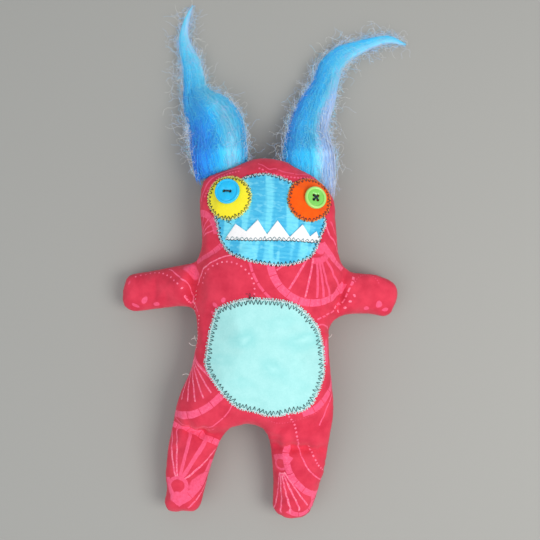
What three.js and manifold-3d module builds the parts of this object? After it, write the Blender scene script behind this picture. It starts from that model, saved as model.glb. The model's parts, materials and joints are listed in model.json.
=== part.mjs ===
// Plush monster: a flat-cut stuffed toy that lies on its back with its face up.
// Millimetres, +Z up, +Y towards the head, left and right as seen from above.
// The origin is on the surface that the toy lies on, under the middle of the belly.

import * as THREE from 'three'
import { mergeVertices } from 'three/addons/utils/BufferGeometryUtils.js'
import Module from 'manifold-3d'

const wasm = await Module()
wasm.setup()

// Driving dimensions: materials and clearances
const cloth = 1.2             // cover cloth with the seam allowances that are turned in
const gap = 0.35              // least space between two pieces that touch
const slack = 0.6             // space between a folding limb and what it is sewn to
const creaseEnd = 3           // how far a crease runs past the limb at each side
const mouth = 0.6             // opening at the root of a limb's cover, as a share of the limb's section
const felt = 1.0              // eye patches and teeth
const fleece = 1.4            // face and belly patches
const flattened = 0.5         // depth of the flat that the toy's weight presses into its back
const fullness = 0.85         // power of a section's sine: 1 is an ellipse, less is fuller

// Driving dimensions: head and body, which share the section at the neck
const neck = { y: 46, left: 48.5, right: 56, thickness: 44 }
const head = { length: 79.5, width: 102, thickness: 50 }
const trunk = { length: 116, width: 116, thickness: 52 }
const trunkEnd = neck.y - trunk.length
const hips = { start: trunkEnd + 20, thickness: 41 }

// Driving dimensions: arms, legs and horns, each from the middle of its crease
const armLeft = { x: -49, y: neck.y - 18, z: 22, turn: 180, length: 55, width: 36, thickness: 25 }
const armRight = { x: 56.5, y: neck.y - 15.2, z: 22, turn: -7.4, length: 45, width: 40.5, thickness: 25 }
const legLeft = { x: -38, y: trunkEnd - 9.5, z: 19, turn: -100.7, length: 64, width: 37, thickness: 31 }
const legRight = { x: 37, y: trunkEnd - 14.5, z: 19, turn: -90, length: 55, width: 41, thickness: 31 }
const hornLeft = { x: -36.5, y: 113.5, z: 24, turn: 118, length: 122, width: 41, thickness: 20 }
const hornRight = { x: 26.5, y: 117.5, z: 24, turn: 66, length: 111, width: 38, thickness: 19 }
const hornTip = 0.8           // least thickness of a horn, at its drawn-out end
const hornFall = 0.7          // height of a horn a step past its crease, as a share of the crease's height

// Driving dimensions: how far the limbs and the horns fold, in degrees, forward being up
const armFold = { forward: 65, back: 25 }
const legFold = { forward: 75, back: 15 }
const hornFold = { forward: 50, back: 15 }

// Driving dimensions: face
const yellowEye = { x: -28.5, y: 92.5, diameter: 31 }
const orangeEye = { x: 28, y: 96.1, diameter: 31 }
const blueButton = { x: -30, y: 96.7, diameter: 18, holes: 2, spacing: 4.6 }
const greenButton = { x: 31.9, y: 98, diameter: 16, holes: 4, spacing: 3.4 }
const buttonThickness = 3
const buttonRim = 2.2
const buttonDish = 1
const holeDiameter = 2.2
const threadDiameter = 1.3
const teeth = { left: -27.9, right: 36.9, y: 65.3, slope: 3.8, height: 12.5, gum: 6.5 }
const toothTips = [0.09, 0.32, 0.53, 0.81, 0.97]
const toothValleys = [0.21, 0.43, 0.68, 0.9]

// Facets
const bodySides = 20
const limbSides = 16
const hornSides = 12
const up = new THREE.Vector3(0, 0, 1)

const colours = {
  red: 0xd9364f, filling: 0xf2f0ea, blueFelt: 0x5bc5ee, aqua: 0xb4f5f0, yellow: 0xf9f43a, orange: 0xff6408,
  white: 0xfdf8f6, blueButton: 0x00b4ea, greenButton: 0x8edc6a, thread: 0x12303c, horn: 0x2a9ce8
}

// Smooth values between a few stations, each [share of the length, values...]
function between(stations) {
  const shares = stations.map(s => s[0])
  const values = stations.flatMap(s => s.slice(1))
  const curve = new THREE.CubicInterpolant(shares, values, stations[0].length - 1)
  return t => Array.from(curve.evaluate(t))
}

// A closed skin over rings of points, with each end drawn to one point
function loft(rings, first, last) {
  const sides = rings[0].length
  const points = [first, ...rings.flat(), last]
  const end = points.length - 1
  const faces = []
  for (let k = 0; k < sides; k++) {
    const next = (k + 1) % sides
    faces.push(0, 1 + next, 1 + k)
    for (let r = 0; r < rings.length - 1; r++) {
      const low = 1 + r * sides
      const high = low + sides
      faces.push(low + k, low + next, high + next)
      faces.push(low + k, high + next, high + k)
    }
    const top = 1 + (rings.length - 1) * sides
    faces.push(top + k, top + next, end)
  }
  const geometry = new THREE.BufferGeometry().setFromPoints(points)
  geometry.setIndex(faces)
  const made = solid(geometry)
  return made.volume() > 0 ? made : solid(turnedOut(geometry))
}

function turnedOut(geometry) {
  const index = Array.from(geometry.index.array)
  geometry.setIndex(index.reverse())
  return geometry
}

function solid(geometry) {
  geometry.deleteAttribute('normal')
  geometry.deleteAttribute('uv')
  const merged = mergeVertices(geometry, 1e-4)
  const triVerts = new Uint32Array(merged.index.array)
  const vertProperties = new Float32Array(merged.attributes.position.array)
  return new wasm.Manifold(new wasm.Mesh({ numProp: 3, vertProperties, triVerts }))
}

function moved(geometry, x, y, z) {
  return solid(geometry.clone().translate(x, y, z))
}

// One section of a stuffed piece: a full, rounded outline across a seam at each side
function section(centre, across, halfWidth, halfThickness, sides) {
  const ring = []
  for (let k = 0; k < sides; k++) {
    const angle = 2 * Math.PI * k / sides
    const rise = Math.sign(Math.sin(angle)) * Math.abs(Math.sin(angle)) ** fullness
    const point = centre.clone().addScaledVector(across, halfWidth * Math.cos(angle))
    ring.push(point.addScaledVector(up, halfThickness * rise))
  }
  return ring
}

// How full a piece still is where its closed end rounds off, as a share of its section.
// corner is 2 for a round end and more for a squared one.
function rounding(shape, t) {
  const s = Math.max(0, (t - shape.roundFrom) / (1 - shape.roundFrom))
  return Math.max(0, 1 - s ** shape.corner) ** (1 / shape.corner)
}

// A stuffed piece along a straight line. shape gives start, along, across, length, roundFrom, corner, sides,
// rings and section(t), which is [low side, high side, half thickness, height]. grow moves the skin out or
// in. root is flat, ball for an end that turns in its crease, or the length by which the piece runs on.
function stuffed(shape, grow = 0, root = shape.root) {
  const length = shape.length + grow
  const rings = []
  const place = (distance, share, t) => {
    const [low, high, half, height] = shape.section(t)
    const centre = shape.start.clone().addScaledVector(shape.along, distance)
    centre.addScaledVector(shape.across, (low + high) / 2)
    centre.z = height
    const width = ((high - low) / 2 + grow) * share
    return { centre, ring: section(centre, shape.across, width, (half + grow) * share, shape.sides) }
  }
  let first = place(0, 1, 0).centre
  if (root === 'ball') {
    const radius = shape.section(0)[2] + grow
    first = place(-radius, 1, 0).centre
    for (const angle of [60, 30]) {
      const tilt = THREE.MathUtils.degToRad(angle)
      rings.push(place(-radius * Math.sin(tilt), Math.cos(tilt), 0).ring)
    }
  } else if (root !== 'flat') {
    first = place(-root, 1, 0).centre
    rings.push(place(-root, 1, 0).ring)
  }
  for (let k = 0; k < shape.rings; k++) {
    const t = Math.sin(Math.PI / 2 * k / shape.rings)
    rings.push(place(length * t, rounding(shape, t), t).ring)
  }
  return loft(rings, first, place(length, 1, 1).centre)
}

// Height of a stuffed piece's top at a point of its plan
function topOf(shape, x, y) {
  const offset = new THREE.Vector3(x, y, 0).sub(shape.start)
  const t = offset.dot(shape.along) / shape.length
  const [low, high, half, height] = shape.section(t)
  const share = rounding(shape, t)
  const side = (offset.dot(shape.across) - (low + high) / 2) / ((high - low) / 2 * share)
  return height + half * share * Math.max(0, 1 - side * side) ** (fullness / 2)
}

const bodyLevel = trunk.thickness / 2 - flattened

const headShape = {
  start: new THREE.Vector3(0, neck.y + gap, 0),
  along: new THREE.Vector3(0, 1, 0),
  across: new THREE.Vector3(1, 0, 0),
  length: head.length,
  roundFrom: 0.43,
  corner: 2,
  sides: bodySides,
  rings: 10,
  root: 'flat',
  section: between([
    [0, -neck.left, neck.right, neck.thickness / 2, bodyLevel],
    [0.25, -0.47 * head.width, 0.514 * head.width, 0.48 * head.thickness, head.thickness / 2 - flattened],
    [0.5, -0.505 * head.width, 0.49 * head.width, 0.5 * head.thickness, head.thickness / 2 - flattened],
    [0.72, -0.573 * head.width, 0.509 * head.width, 0.5 * head.thickness, head.thickness / 2 - flattened],
    [1, -0.5 * head.width, 0.42 * head.width, 0.42 * head.thickness, head.thickness / 2 - flattened]
  ])
}

const trunkShape = {
  start: new THREE.Vector3(0, neck.y, 0),
  along: new THREE.Vector3(0, -1, 0),
  across: new THREE.Vector3(1, 0, 0),
  length: trunk.length,
  roundFrom: 0.78,
  corner: 2,
  sides: bodySides,
  rings: 10,
  root: 'flat',
  section: between([
    [0, -neck.left, neck.right, neck.thickness / 2, bodyLevel],
    [0.16, -0.416 * trunk.width, 0.48 * trunk.width, 0.46 * trunk.thickness, bodyLevel],
    [0.33, -0.405 * trunk.width, 0.455 * trunk.width, 0.49 * trunk.thickness, bodyLevel],
    [0.5, -0.394 * trunk.width, 0.462 * trunk.width, 0.5 * trunk.thickness, bodyLevel],
    [0.72, -0.425 * trunk.width, 0.502 * trunk.width, 0.5 * trunk.thickness, bodyLevel],
    [1, -0.49 * trunk.width, 0.52 * trunk.width, 0.46 * trunk.thickness, bodyLevel]
  ])
}

// The body's two lower lobes, which the legs are sewn to and which take their width from them
function hipShape(leg) {
  const width = leg.width + 2 * cloth
  return {
    start: new THREE.Vector3(leg.x, hips.start, 0),
    along: new THREE.Vector3(0, -1, 0),
    across: new THREE.Vector3(1, 0, 0),
    length: hips.start - leg.y + leg.thickness / 2,
    roundFrom: 0.75,
    corner: 2,
    sides: bodySides,
    rings: 6,
    root: 'ball',
    section: between([
      [0, -0.38 * width, 0.38 * width, 0.42 * hips.thickness, bodyLevel],
      [0.4, -0.49 * width, 0.49 * width, 0.46 * hips.thickness, 0.88 * bodyLevel],
      [1, -0.5 * width, 0.5 * width, 0.36 * hips.thickness, 0.78 * bodyLevel]
    ])
  }
}

const hipShapes = [legLeft, legRight].map(hipShape)

// An arm or a leg. outline is [share of the length, low side, high side, thickness, drop], as shares of its
// own width and thickness: the high side is towards the head or the right, and drop is how far the limb has
// come down towards the surface that it rests on.
function limbShape(limb, roundFrom, outline) {
  const turn = THREE.MathUtils.degToRad(limb.turn)
  const along = new THREE.Vector3(Math.cos(turn), Math.sin(turn), 0)
  const drop = limb.z - limb.thickness / 2 + flattened
  const across = up.clone().cross(along)
  if (across.x + across.y < 0) across.negate()
  return {
    start: new THREE.Vector3(limb.x, limb.y, 0),
    along,
    across,
    length: limb.length,
    roundFrom,
    corner: 2.6,
    sides: limbSides,
    rings: 9,
    root: 'ball',
    section: between(outline.map(([t, low, high, thick, fall]) =>
      [t, low * limb.width, high * limb.width, thick * limb.thickness / 2, limb.z - fall * drop]))
  }
}

const armLeftShape = limbShape(armLeft, 0.74, [
  [0, -0.5, 0.49, 0.84, 0], [0.27, -0.49, 0.4, 0.94, 0.35], [0.55, -0.57, 0.27, 1, 0.75],
  [0.8, -0.67, 0.2, 1, 1], [1, -0.6, 0.1, 0.9, 1]
])
const armRightShape = limbShape(armRight, 0.7, [
  [0, -0.5, 0.5, 0.84, 0], [0.14, -0.37, 0.47, 0.9, 0.2], [0.32, -0.31, 0.49, 0.96, 0.5],
  [0.73, -0.26, 0.5, 1, 1], [1, -0.22, 0.46, 0.9, 1]
])
const legLeftShape = limbShape(legLeft, 0.8, [
  [0, -0.5, 0.49, 0.88, 0], [0.28, -0.5, 0.45, 1, 0.7], [0.55, -0.42, 0.45, 1, 1],
  [0.8, -0.34, 0.46, 0.97, 1], [1, -0.28, 0.42, 0.9, 1]
])
const legRightShape = limbShape(legRight, 0.8, [
  [0, -0.49, 0.5, 0.88, 0], [0.3, -0.44, 0.48, 1, 0.7], [0.6, -0.4, 0.41, 1, 1],
  [0.85, -0.38, 0.36, 0.97, 1], [1, -0.3, 0.3, 0.9, 1]
])

// A horn: a flat tuft at its crease, then drawn out and curled over. path is [x, y, width, thickness] from
// the crease, as shares of the horn's own length, width and thickness. Past its base it lies on the surface.
function hornShape(horn, path) {
  const turn = THREE.MathUtils.degToRad(horn.turn)
  const along = new THREE.Vector3(Math.cos(turn), Math.sin(turn), 0)
  const across = up.clone().cross(along).negate()
  const low = share => Math.max(share * horn.thickness, hornTip) / 2
  const heights = path.map(([, , , thick]) => low(thick) + gap)
  heights.splice(0, 2, horn.z, horn.z * hornFall)
  const spine = path.map(([x, y], k) =>
    new THREE.Vector3(horn.x + x * horn.length, horn.y + y * horn.length, heights[k]))
  const sizes = path.map(([, , wide, thick], k) =>
    [k / (path.length - 1), wide * horn.width / 2, low(thick)])
  return {
    start: new THREE.Vector3(horn.x, horn.y, 0),
    along,
    across,
    length: Math.hypot(path[2][0], path[2][1]) * horn.length,
    curve: new THREE.CatmullRomCurve3(spine),
    sizes: between(sizes),
    squareRoot: true,
    section: t => {
      const share = t * 2 / (path.length - 1)
      const [wide, thick] = between(sizes)(share)
      const point = new THREE.CatmullRomCurve3(spine).getPoint(share)
      const aside = point.clone().sub(spine[0]).dot(across)
      return [aside - wide, aside + wide, thick, point.z]
    }
  }
}

const hornLeftShape = hornShape(hornLeft, [
  [0, 0, 1, 0.5], [-0.05, 0.148, 1, 0.95], [-0.094, 0.303, 0.96, 1], [-0.172, 0.434, 0.56, 0.8],
  [-0.238, 0.582, 0.44, 0.6], [-0.295, 0.754, 0.28, 0.4], [-0.336, 0.885, 0.13, 0.2],
  [-0.316, 1, 0.03, 0.04]
])
const hornRightShape = hornShape(hornRight, [
  [0, 0, 1, 0.5], [-0.018, 0.158, 0.93, 0.95], [-0.024, 0.306, 0.78, 1], [0.018, 0.477, 0.66, 0.85],
  [0.068, 0.649, 0.5, 0.65], [0.108, 0.784, 0.42, 0.55], [0.216, 0.896, 0.3, 0.4],
  [0.369, 0.964, 0.18, 0.28], [0.495, 1, 0.13, 0.2], [0.595, 0.977, 0.03, 0.05]
])

function horn(shape) {
  const steps = 22
  const turnedBy = 0.25
  const rings = []
  const [width, thickness] = shape.sizes(0)
  const root = shape.curve.getPoint(0)
  for (const angle of [60, 30]) {
    const tilt = THREE.MathUtils.degToRad(angle)
    const centre = root.clone().addScaledVector(shape.along, -thickness * Math.sin(tilt))
    rings.push(section(centre, shape.across, width * Math.cos(tilt), thickness * Math.cos(tilt), hornSides))
  }
  for (let k = 0; k < steps; k++) {
    const t = k / steps
    const [wide, thick] = shape.sizes(t)
    const heading = shape.along.clone().lerp(shape.curve.getTangent(t), Math.min(1, t / turnedBy))
    const across = up.clone().cross(heading).negate().normalize()
    const centre = shape.curve.getPoint(t)
    centre.z = Math.max(centre.z, thick + gap)
    rings.push(section(centre, across, wide, thick, hornSides))
  }
  const first = root.clone().addScaledVector(shape.along, -thickness)
  return loft(rings, first, shape.curve.getPoint(1))
}

// The space that a limb passes through as it folds at its crease: everything between its top at the furthest
// forward fold and its underside at the furthest back one, rounded where it turns
function foldSpace(shape, fold, height) {
  const reach = [0, 0.08, 0.18, 0.35, 0.6]
  const near = reach.slice(0, 4).map(t => shape.section(t))
  const low = Math.min(...near.map(s => s[0])) - slack
  const high = Math.max(...near.map(s => s[1])) + slack
  const forward = THREE.MathUtils.degToRad(fold.forward)
  const back = THREE.MathUtils.degToRad(-fold.back)
  const half = shape.section(0)[2]
  const middle = (low + high) / 2
  const turned = (u, w, angle) =>
    [u * Math.cos(angle) - w * Math.sin(angle), u * Math.sin(angle) + w * Math.cos(angle)]
  const outline = share => {
    const points = []
    const edge = (t, side) => {
      const [, , thick, level] = shape.section(t)
      return level - height + side * (thick * share + slack)
    }
    const turning = half * share + slack
    for (const t of [...reach].reverse()) {
      points.push(turned(t * shape.length, Math.max(edge(t, 1), turning), forward))
    }
    const arc = 5
    const step = (Math.PI + back - forward) / arc
    const radius = turning / Math.cos(step / 2)
    for (let k = 0; k < arc; k++) {
      const angle = Math.PI / 2 + forward + step * (k + 0.5)
      points.push([radius * Math.cos(angle), radius * Math.sin(angle)])
    }
    for (const t of reach) {
      points.push(turned(t * shape.length, Math.min(edge(t, -1), -turning), back))
    }
    points.push([reach.at(-1) * shape.length, 0])
    return points
  }
  const past = 1 + 2 * creaseEnd / (high - low)
  const slices = shape.squareRoot ? [-1, 1] : [-past, -1, -0.92, -0.7, -0.35, 0, 0.35, 0.7, 0.92, 1, past]
  const at = (side, u, w) => shape.start.clone()
    .addScaledVector(shape.across, middle + side * (high - low) / 2)
    .addScaledVector(shape.along, u)
    .addScaledVector(up, height + w)
  const rings = slices.map(side => {
    const share = shape.squareRoot ? 1 : Math.max(0, 1 - side * side) ** (fullness / 2)
    return outline(share).map(([u, w]) => at(side, u, w))
  })
  const inside = reach[2] * shape.length
  return loft(rings, at(slices[0], inside, 0), at(slices.at(-1), inside, 0))
}

const armLeftSpace = foldSpace(armLeftShape, armFold, armLeft.z)
const armRightSpace = foldSpace(armRightShape, armFold, armRight.z)
const legLeftSpace = foldSpace(legLeftShape, legFold, legLeft.z)
const legRightSpace = foldSpace(legRightShape, legFold, legRight.z)
const hornLeftSpace = foldSpace(hornLeftShape, hornFold, hornLeft.z)
const hornRightSpace = foldSpace(hornRightShape, hornFold, hornRight.z)

function without(made, ...spaces) {
  return spaces.reduce((rest, space) => rest.subtract(space), made)
}

// Everything under a height, which the toy's weight presses flat
function below(height) {
  const size = 4 * (head.length + trunk.length)
  return moved(new THREE.BoxGeometry(size, size, size), 0, 0, height - size / 2)
}

// A cover is the skin of a stuffed form, open at its root, and its filling is the wad inside
function limbCover(shape) {
  const inside = stuffed(shape, -cloth).subtract(below(cloth))
  return without(stuffed(shape), inside, mouthOf(shape), below(0))
}

// A slot from a limb's crease into its inside, through which it is filled
function mouthOf(shape) {
  const [low, high, half, height] = shape.section(0)
  const at = u => shape.start.clone().addScaledVector(shape.along, u)
    .addScaledVector(shape.across, (low + high) / 2).setZ(height)
  const slot = u => section(at(u), shape.across, mouth * (high - low) / 2, mouth * half, 8)
  return loft([slot(-2 * half), slot(half)], at(-2 * half), at(half))
}

function limbFilling(shape) {
  return stuffed(shape, -cloth - gap).subtract(below(cloth + gap))
}

const bodySpaces = [armLeftSpace, armRightSpace, legLeftSpace, legRightSpace]
const headSpaces = [armLeftSpace, armRightSpace, hornLeftSpace, hornRightSpace]

// How far the inside of the head and of the body runs past the neck, where the two are one bag
const throat = neck.thickness

function bodyForm(grow, root) {
  const [left, right] = hipShapes.map(shape => stuffed(shape, grow))
  return stuffed(trunkShape, grow, root).add(left).add(right)
}

function torsoCover() {
  const inside = bodyForm(-cloth, throat).subtract(below(cloth))
  return without(bodyForm(0), inside, below(0), ...bodySpaces)
}

function torsoFilling() {
  return without(bodyForm(-cloth - gap), below(cloth + gap), ...bodySpaces)
}

function headCover() {
  const inside = stuffed(headShape, -cloth, throat).subtract(below(cloth))
  return without(stuffed(headShape), inside, below(0), ...headSpaces)
}

function headFilling() {
  return without(stuffed(headShape, -cloth - gap), below(cloth + gap), ...headSpaces)
}

// A flat piece sewn onto the top of a stuffed form: its outline, cut from a layer that follows the form
function sewnOn(form, outline, low, high) {
  const layer = form(high).subtract(form(low))
  const depth = 2 * trunk.thickness
  const block = new THREE.ExtrudeGeometry(outline, { depth, bevelEnabled: false })
  return layer.intersect(moved(block, 0, 0, bodyLevel + gap))
}

function smoothOutline(points, divisions) {
  const path = new THREE.CatmullRomCurve3(points.map(([x, y]) => new THREE.Vector3(x, y, 0)), true)
  return new THREE.Shape(path.getPoints(divisions).slice(0, -1).map(p => new THREE.Vector2(p.x, p.y)))
}

function discOutline(eye) {
  const shape = new THREE.Shape()
  return shape.absarc(eye.x, eye.y, eye.diameter / 2, 0, 2 * Math.PI)
}

const facePoints = [
  [-4, 113.4], [-20, 109], [-36, 96], [-38, 78], [-33, 64], [-20, 52], [0, 48.8], [18, 49.6], [32, 56],
  [40, 70], [41, 84], [33, 99], [14, 109]
]
const bellyPoints = [
  [-4, 23.4], [-22, 18], [-33, 8], [-36, -8], [-34.5, -32], [-19, -50], [4, -58.5], [25, -56], [43, -42],
  [50, -22], [46, 0], [33, 18], [13, 24]
]

// The teeth: a straight gum line that follows the mouth's slope, with points standing up from it
function teethOutline() {
  const length = teeth.right - teeth.left
  const rise = Math.tan(THREE.MathUtils.degToRad(teeth.slope))
  const at = (share, height) => {
    const x = teeth.left + share * length
    return new THREE.Vector2(x, teeth.y + (x - (teeth.left + teeth.right) / 2) * rise + height)
  }
  const points = [at(0, -1), at(1, -1)]
  const order = toothTips.map((tip, k) => [tip, toothValleys[k - 1]]).reverse()
  for (const [tip, valley] of order) {
    points.push(at(tip, tip > 0.9 ? teeth.height * 0.6 : teeth.height))
    if (valley !== undefined) points.push(at(valley, teeth.gum - 1))
  }
  return new THREE.Shape(points)
}

const facePatch = sewnOn(grow => stuffed(headShape, grow), smoothOutline(facePoints, 36), gap, gap + fleece)
const bellyPatch = sewnOn(grow => bodyForm(grow), smoothOutline(bellyPoints, 36), gap, gap + fleece)
const feltBottom = 2 * gap + fleece
const feltTop = feltBottom + felt
const onHead = outline => sewnOn(grow => stuffed(headShape, grow), outline, feltBottom, feltTop)

// A sewing button: a disc with a raised rim round a dished middle, and its holes
function holePlaces(button) {
  const half = button.spacing / 2
  if (button.holes === 2) return [[-half, 0], [half, 0]]
  return [[-half, -half], [half, -half], [half, half], [-half, half]]
}

function buttonSolid(button) {
  const radius = button.diameter / 2
  const edge = buttonThickness / 3
  const profile = [
    [0, 0], [radius - edge, 0], [radius, edge], [radius, 2 * edge], [radius - edge, buttonThickness],
    [radius - buttonRim, buttonThickness], [radius - buttonRim - buttonDish, buttonThickness - buttonDish],
    [0, buttonThickness - buttonDish]
  ]
  const turnedProfile = profile.map(([r, z]) => new THREE.Vector2(r, z))
  const disc = solid(new THREE.LatheGeometry(turnedProfile, 24).rotateX(Math.PI / 2))
  const hole = new THREE.CylinderGeometry(holeDiameter / 2, holeDiameter / 2, 4 * buttonThickness, 8)
  hole.rotateX(Math.PI / 2)
  return without(disc, ...holePlaces(button).map(([x, y]) => moved(hole, x, y, 0)))
}

// The stitches that hold a button: a leg down each hole and a bar from hole to hole over the dish
function threadSolid(button) {
  const radius = threadDiameter / 2
  const top = buttonThickness - buttonDish + gap + radius
  const leg = new THREE.CylinderGeometry(radius, radius, top, 6).rotateX(Math.PI / 2)
  const places = holePlaces(button)
  const legs = places.map(([x, y]) => moved(leg, x, y, top / 2))
  const pairs = button.holes === 2 ? [[0, 1]] : [[0, 2], [1, 3]]
  const bars = pairs.map(([a, b]) => {
    const [from, to] = [places[a], places[b]]
    const reach = Math.hypot(to[0] - from[0], to[1] - from[1])
    const bar = new THREE.CapsuleGeometry(radius, reach, 2, 6)
    bar.rotateZ(Math.atan2(to[1] - from[1], to[0] - from[0]) - Math.PI / 2)
    return moved(bar, (from[0] + to[0]) / 2, (from[1] + to[1]) / 2, top)
  })
  return [...legs, ...bars].reduce((all, one) => all.add(one))
}

// A button lies on its felt disc, square to the head under it
function buttonGroup(name, button, colour) {
  const step = 1
  const height = topOf(headShape, button.x, button.y)
  const slopeX = (topOf(headShape, button.x + step, button.y) - height) / step
  const slopeY = (topOf(headShape, button.x, button.y + step) - height) / step
  const normal = new THREE.Vector3(-slopeX, -slopeY, 1).normalize()
  const group = new THREE.Group()
  group.quaternion.setFromUnitVectors(up, normal)
  group.position.set(button.x, button.y, height).addScaledVector(normal, feltTop + gap)
  group.add(piece(name, buttonSolid(button), colour, 0.25))
  group.add(piece(`${name}_thread`, threadSolid(button), colours.thread, 0.8))
  return group
}

function piece(name, made, colour, roughness = 0.9) {
  const mesh = made.getMesh()
  const geometry = new THREE.BufferGeometry()
  geometry.setAttribute('position', new THREE.BufferAttribute(new Float32Array(mesh.vertProperties), 3))
  geometry.setIndex(new THREE.BufferAttribute(new Uint32Array(mesh.triVerts), 1))
  const material = new THREE.MeshStandardMaterial({ color: colour, roughness, metalness: 0 })
  const result = new THREE.Mesh(geometry, material)
  result.name = name
  return result
}

const toy = new THREE.Group()
toy.add(piece('torso_cover', torsoCover(), colours.red))
toy.add(piece('torso_filling', torsoFilling(), colours.filling))
toy.add(piece('head_cover', headCover(), colours.red))
toy.add(piece('head_filling', headFilling(), colours.filling))

const limbs = {
  arm_left: armLeftShape, arm_right: armRightShape, leg_left: legLeftShape, leg_right: legRightShape
}
for (const [name, shape] of Object.entries(limbs)) {
  toy.add(piece(`${name}_cover`, limbCover(shape), colours.red))
  toy.add(piece(`${name}_filling`, limbFilling(shape), colours.filling))
}

toy.add(piece('face_patch', facePatch, colours.blueFelt))
toy.add(piece('belly_patch', bellyPatch, colours.aqua))
toy.add(piece('yellow_eye_patch', onHead(discOutline(yellowEye)), colours.yellow))
toy.add(piece('orange_eye_patch', onHead(discOutline(orangeEye)), colours.orange))
toy.add(piece('teeth_strip', onHead(teethOutline()), colours.white))
toy.add(buttonGroup('blue_button', blueButton, colours.blueButton))
toy.add(buttonGroup('green_button', greenButton, colours.greenButton))
toy.add(piece('horn_left', horn(hornLeftShape), colours.horn, 0.95))
toy.add(piece('horn_right', horn(hornRightShape), colours.horn, 0.95))

export default toy
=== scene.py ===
"""Plush monster: a flat-cut, hand-sewn stuffed toy of printed cotton, lying on its back.

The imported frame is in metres. Tables that describe the toy are in millimetres and say so.
Left and right are as seen from above, with the head away from the viewer.
"""

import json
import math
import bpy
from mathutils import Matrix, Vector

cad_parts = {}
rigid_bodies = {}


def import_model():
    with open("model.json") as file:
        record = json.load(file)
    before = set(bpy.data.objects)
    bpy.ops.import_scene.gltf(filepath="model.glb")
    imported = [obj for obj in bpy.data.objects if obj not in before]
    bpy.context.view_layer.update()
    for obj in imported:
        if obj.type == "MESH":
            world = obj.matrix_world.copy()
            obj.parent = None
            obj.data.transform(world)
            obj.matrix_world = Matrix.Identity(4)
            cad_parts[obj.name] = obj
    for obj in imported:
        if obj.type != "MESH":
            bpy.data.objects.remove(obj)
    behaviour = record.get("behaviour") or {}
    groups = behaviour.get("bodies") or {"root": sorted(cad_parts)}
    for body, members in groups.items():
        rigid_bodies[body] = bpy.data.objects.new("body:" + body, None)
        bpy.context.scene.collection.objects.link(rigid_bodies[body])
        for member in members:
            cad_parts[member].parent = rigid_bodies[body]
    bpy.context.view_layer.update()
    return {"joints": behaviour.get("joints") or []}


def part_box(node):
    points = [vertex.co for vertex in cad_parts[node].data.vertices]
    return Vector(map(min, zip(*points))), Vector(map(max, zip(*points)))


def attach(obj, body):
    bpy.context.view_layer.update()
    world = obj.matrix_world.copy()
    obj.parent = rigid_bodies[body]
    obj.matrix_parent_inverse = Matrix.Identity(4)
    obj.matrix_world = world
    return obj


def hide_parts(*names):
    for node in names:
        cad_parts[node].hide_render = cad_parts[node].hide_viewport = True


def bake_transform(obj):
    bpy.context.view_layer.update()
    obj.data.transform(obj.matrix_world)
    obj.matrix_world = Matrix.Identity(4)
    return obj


bl_info = {
    "name": "Plush Monster",
    "version": (1, 0, 0),
    "blender": (4, 5, 0),
    "location": "View3D > Sidebar > Plush Monster",
    "description": "Sews a stuffed monster with felt patches, button eyes and wool horns",
    "category": "Object",
}

import bmesh
import bpy
import numpy as np
from bpy.props import FloatProperty, FloatVectorProperty, IntProperty, PointerProperty
from mathutils import Matrix, Vector, noise
from mathutils.bvhtree import BVHTree

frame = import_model()

MM = 0.001
UP = Vector((0, 0, 1))
JOINTS = {joint["child"]: joint for joint in frame["joints"]}
LIMBS = ("arm_left", "arm_right", "leg_left", "leg_right")
SEAM_LEVEL = (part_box("torso_cover")[0].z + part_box("torso_cover")[1].z) / 2


# How far each crease lies on the body's side of the limb's hinge, in millimetres
CREASE_INSET = {"arm_left": -0.5, "arm_right": -0.5, "leg_left": 3.6, "leg_right": 2.8}
# Half the width of each limb at its crease, in millimetres, and the share by which the crease draws it in
CREASE_HALF = {"arm_left": 19, "arm_right": 21, "leg_left": 20, "leg_right": 22}
CREASE_DEPTH = {"arm_left": 0.57, "arm_right": 0.42, "leg_left": 0.5, "leg_right": 0.42}
# Each limb's length in millimetres, and how many times thicker it is than the bag would swell there by itself
LIMB_LENGTH = {"arm_left": 55, "arm_right": 45, "leg_left": 64, "leg_right": 55}
LIMB_GAIN = {"arm_left": 1.28, "arm_right": 1.25, "leg_left": 1.38, "leg_right": 1.38}
# Height of each limb's seam as a share of the limb's height
LIMB_LEVEL = {"arm_left": 0.4, "arm_right": 0.4, "leg_left": 0.46, "leg_right": 0.46}


def limb_level(limb):
    """Height of a limb's seam where the limb rests on the surface."""
    low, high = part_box(limb + "_cover")
    return low.z + (high.z - low.z) * LIMB_LEVEL[limb]


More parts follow.
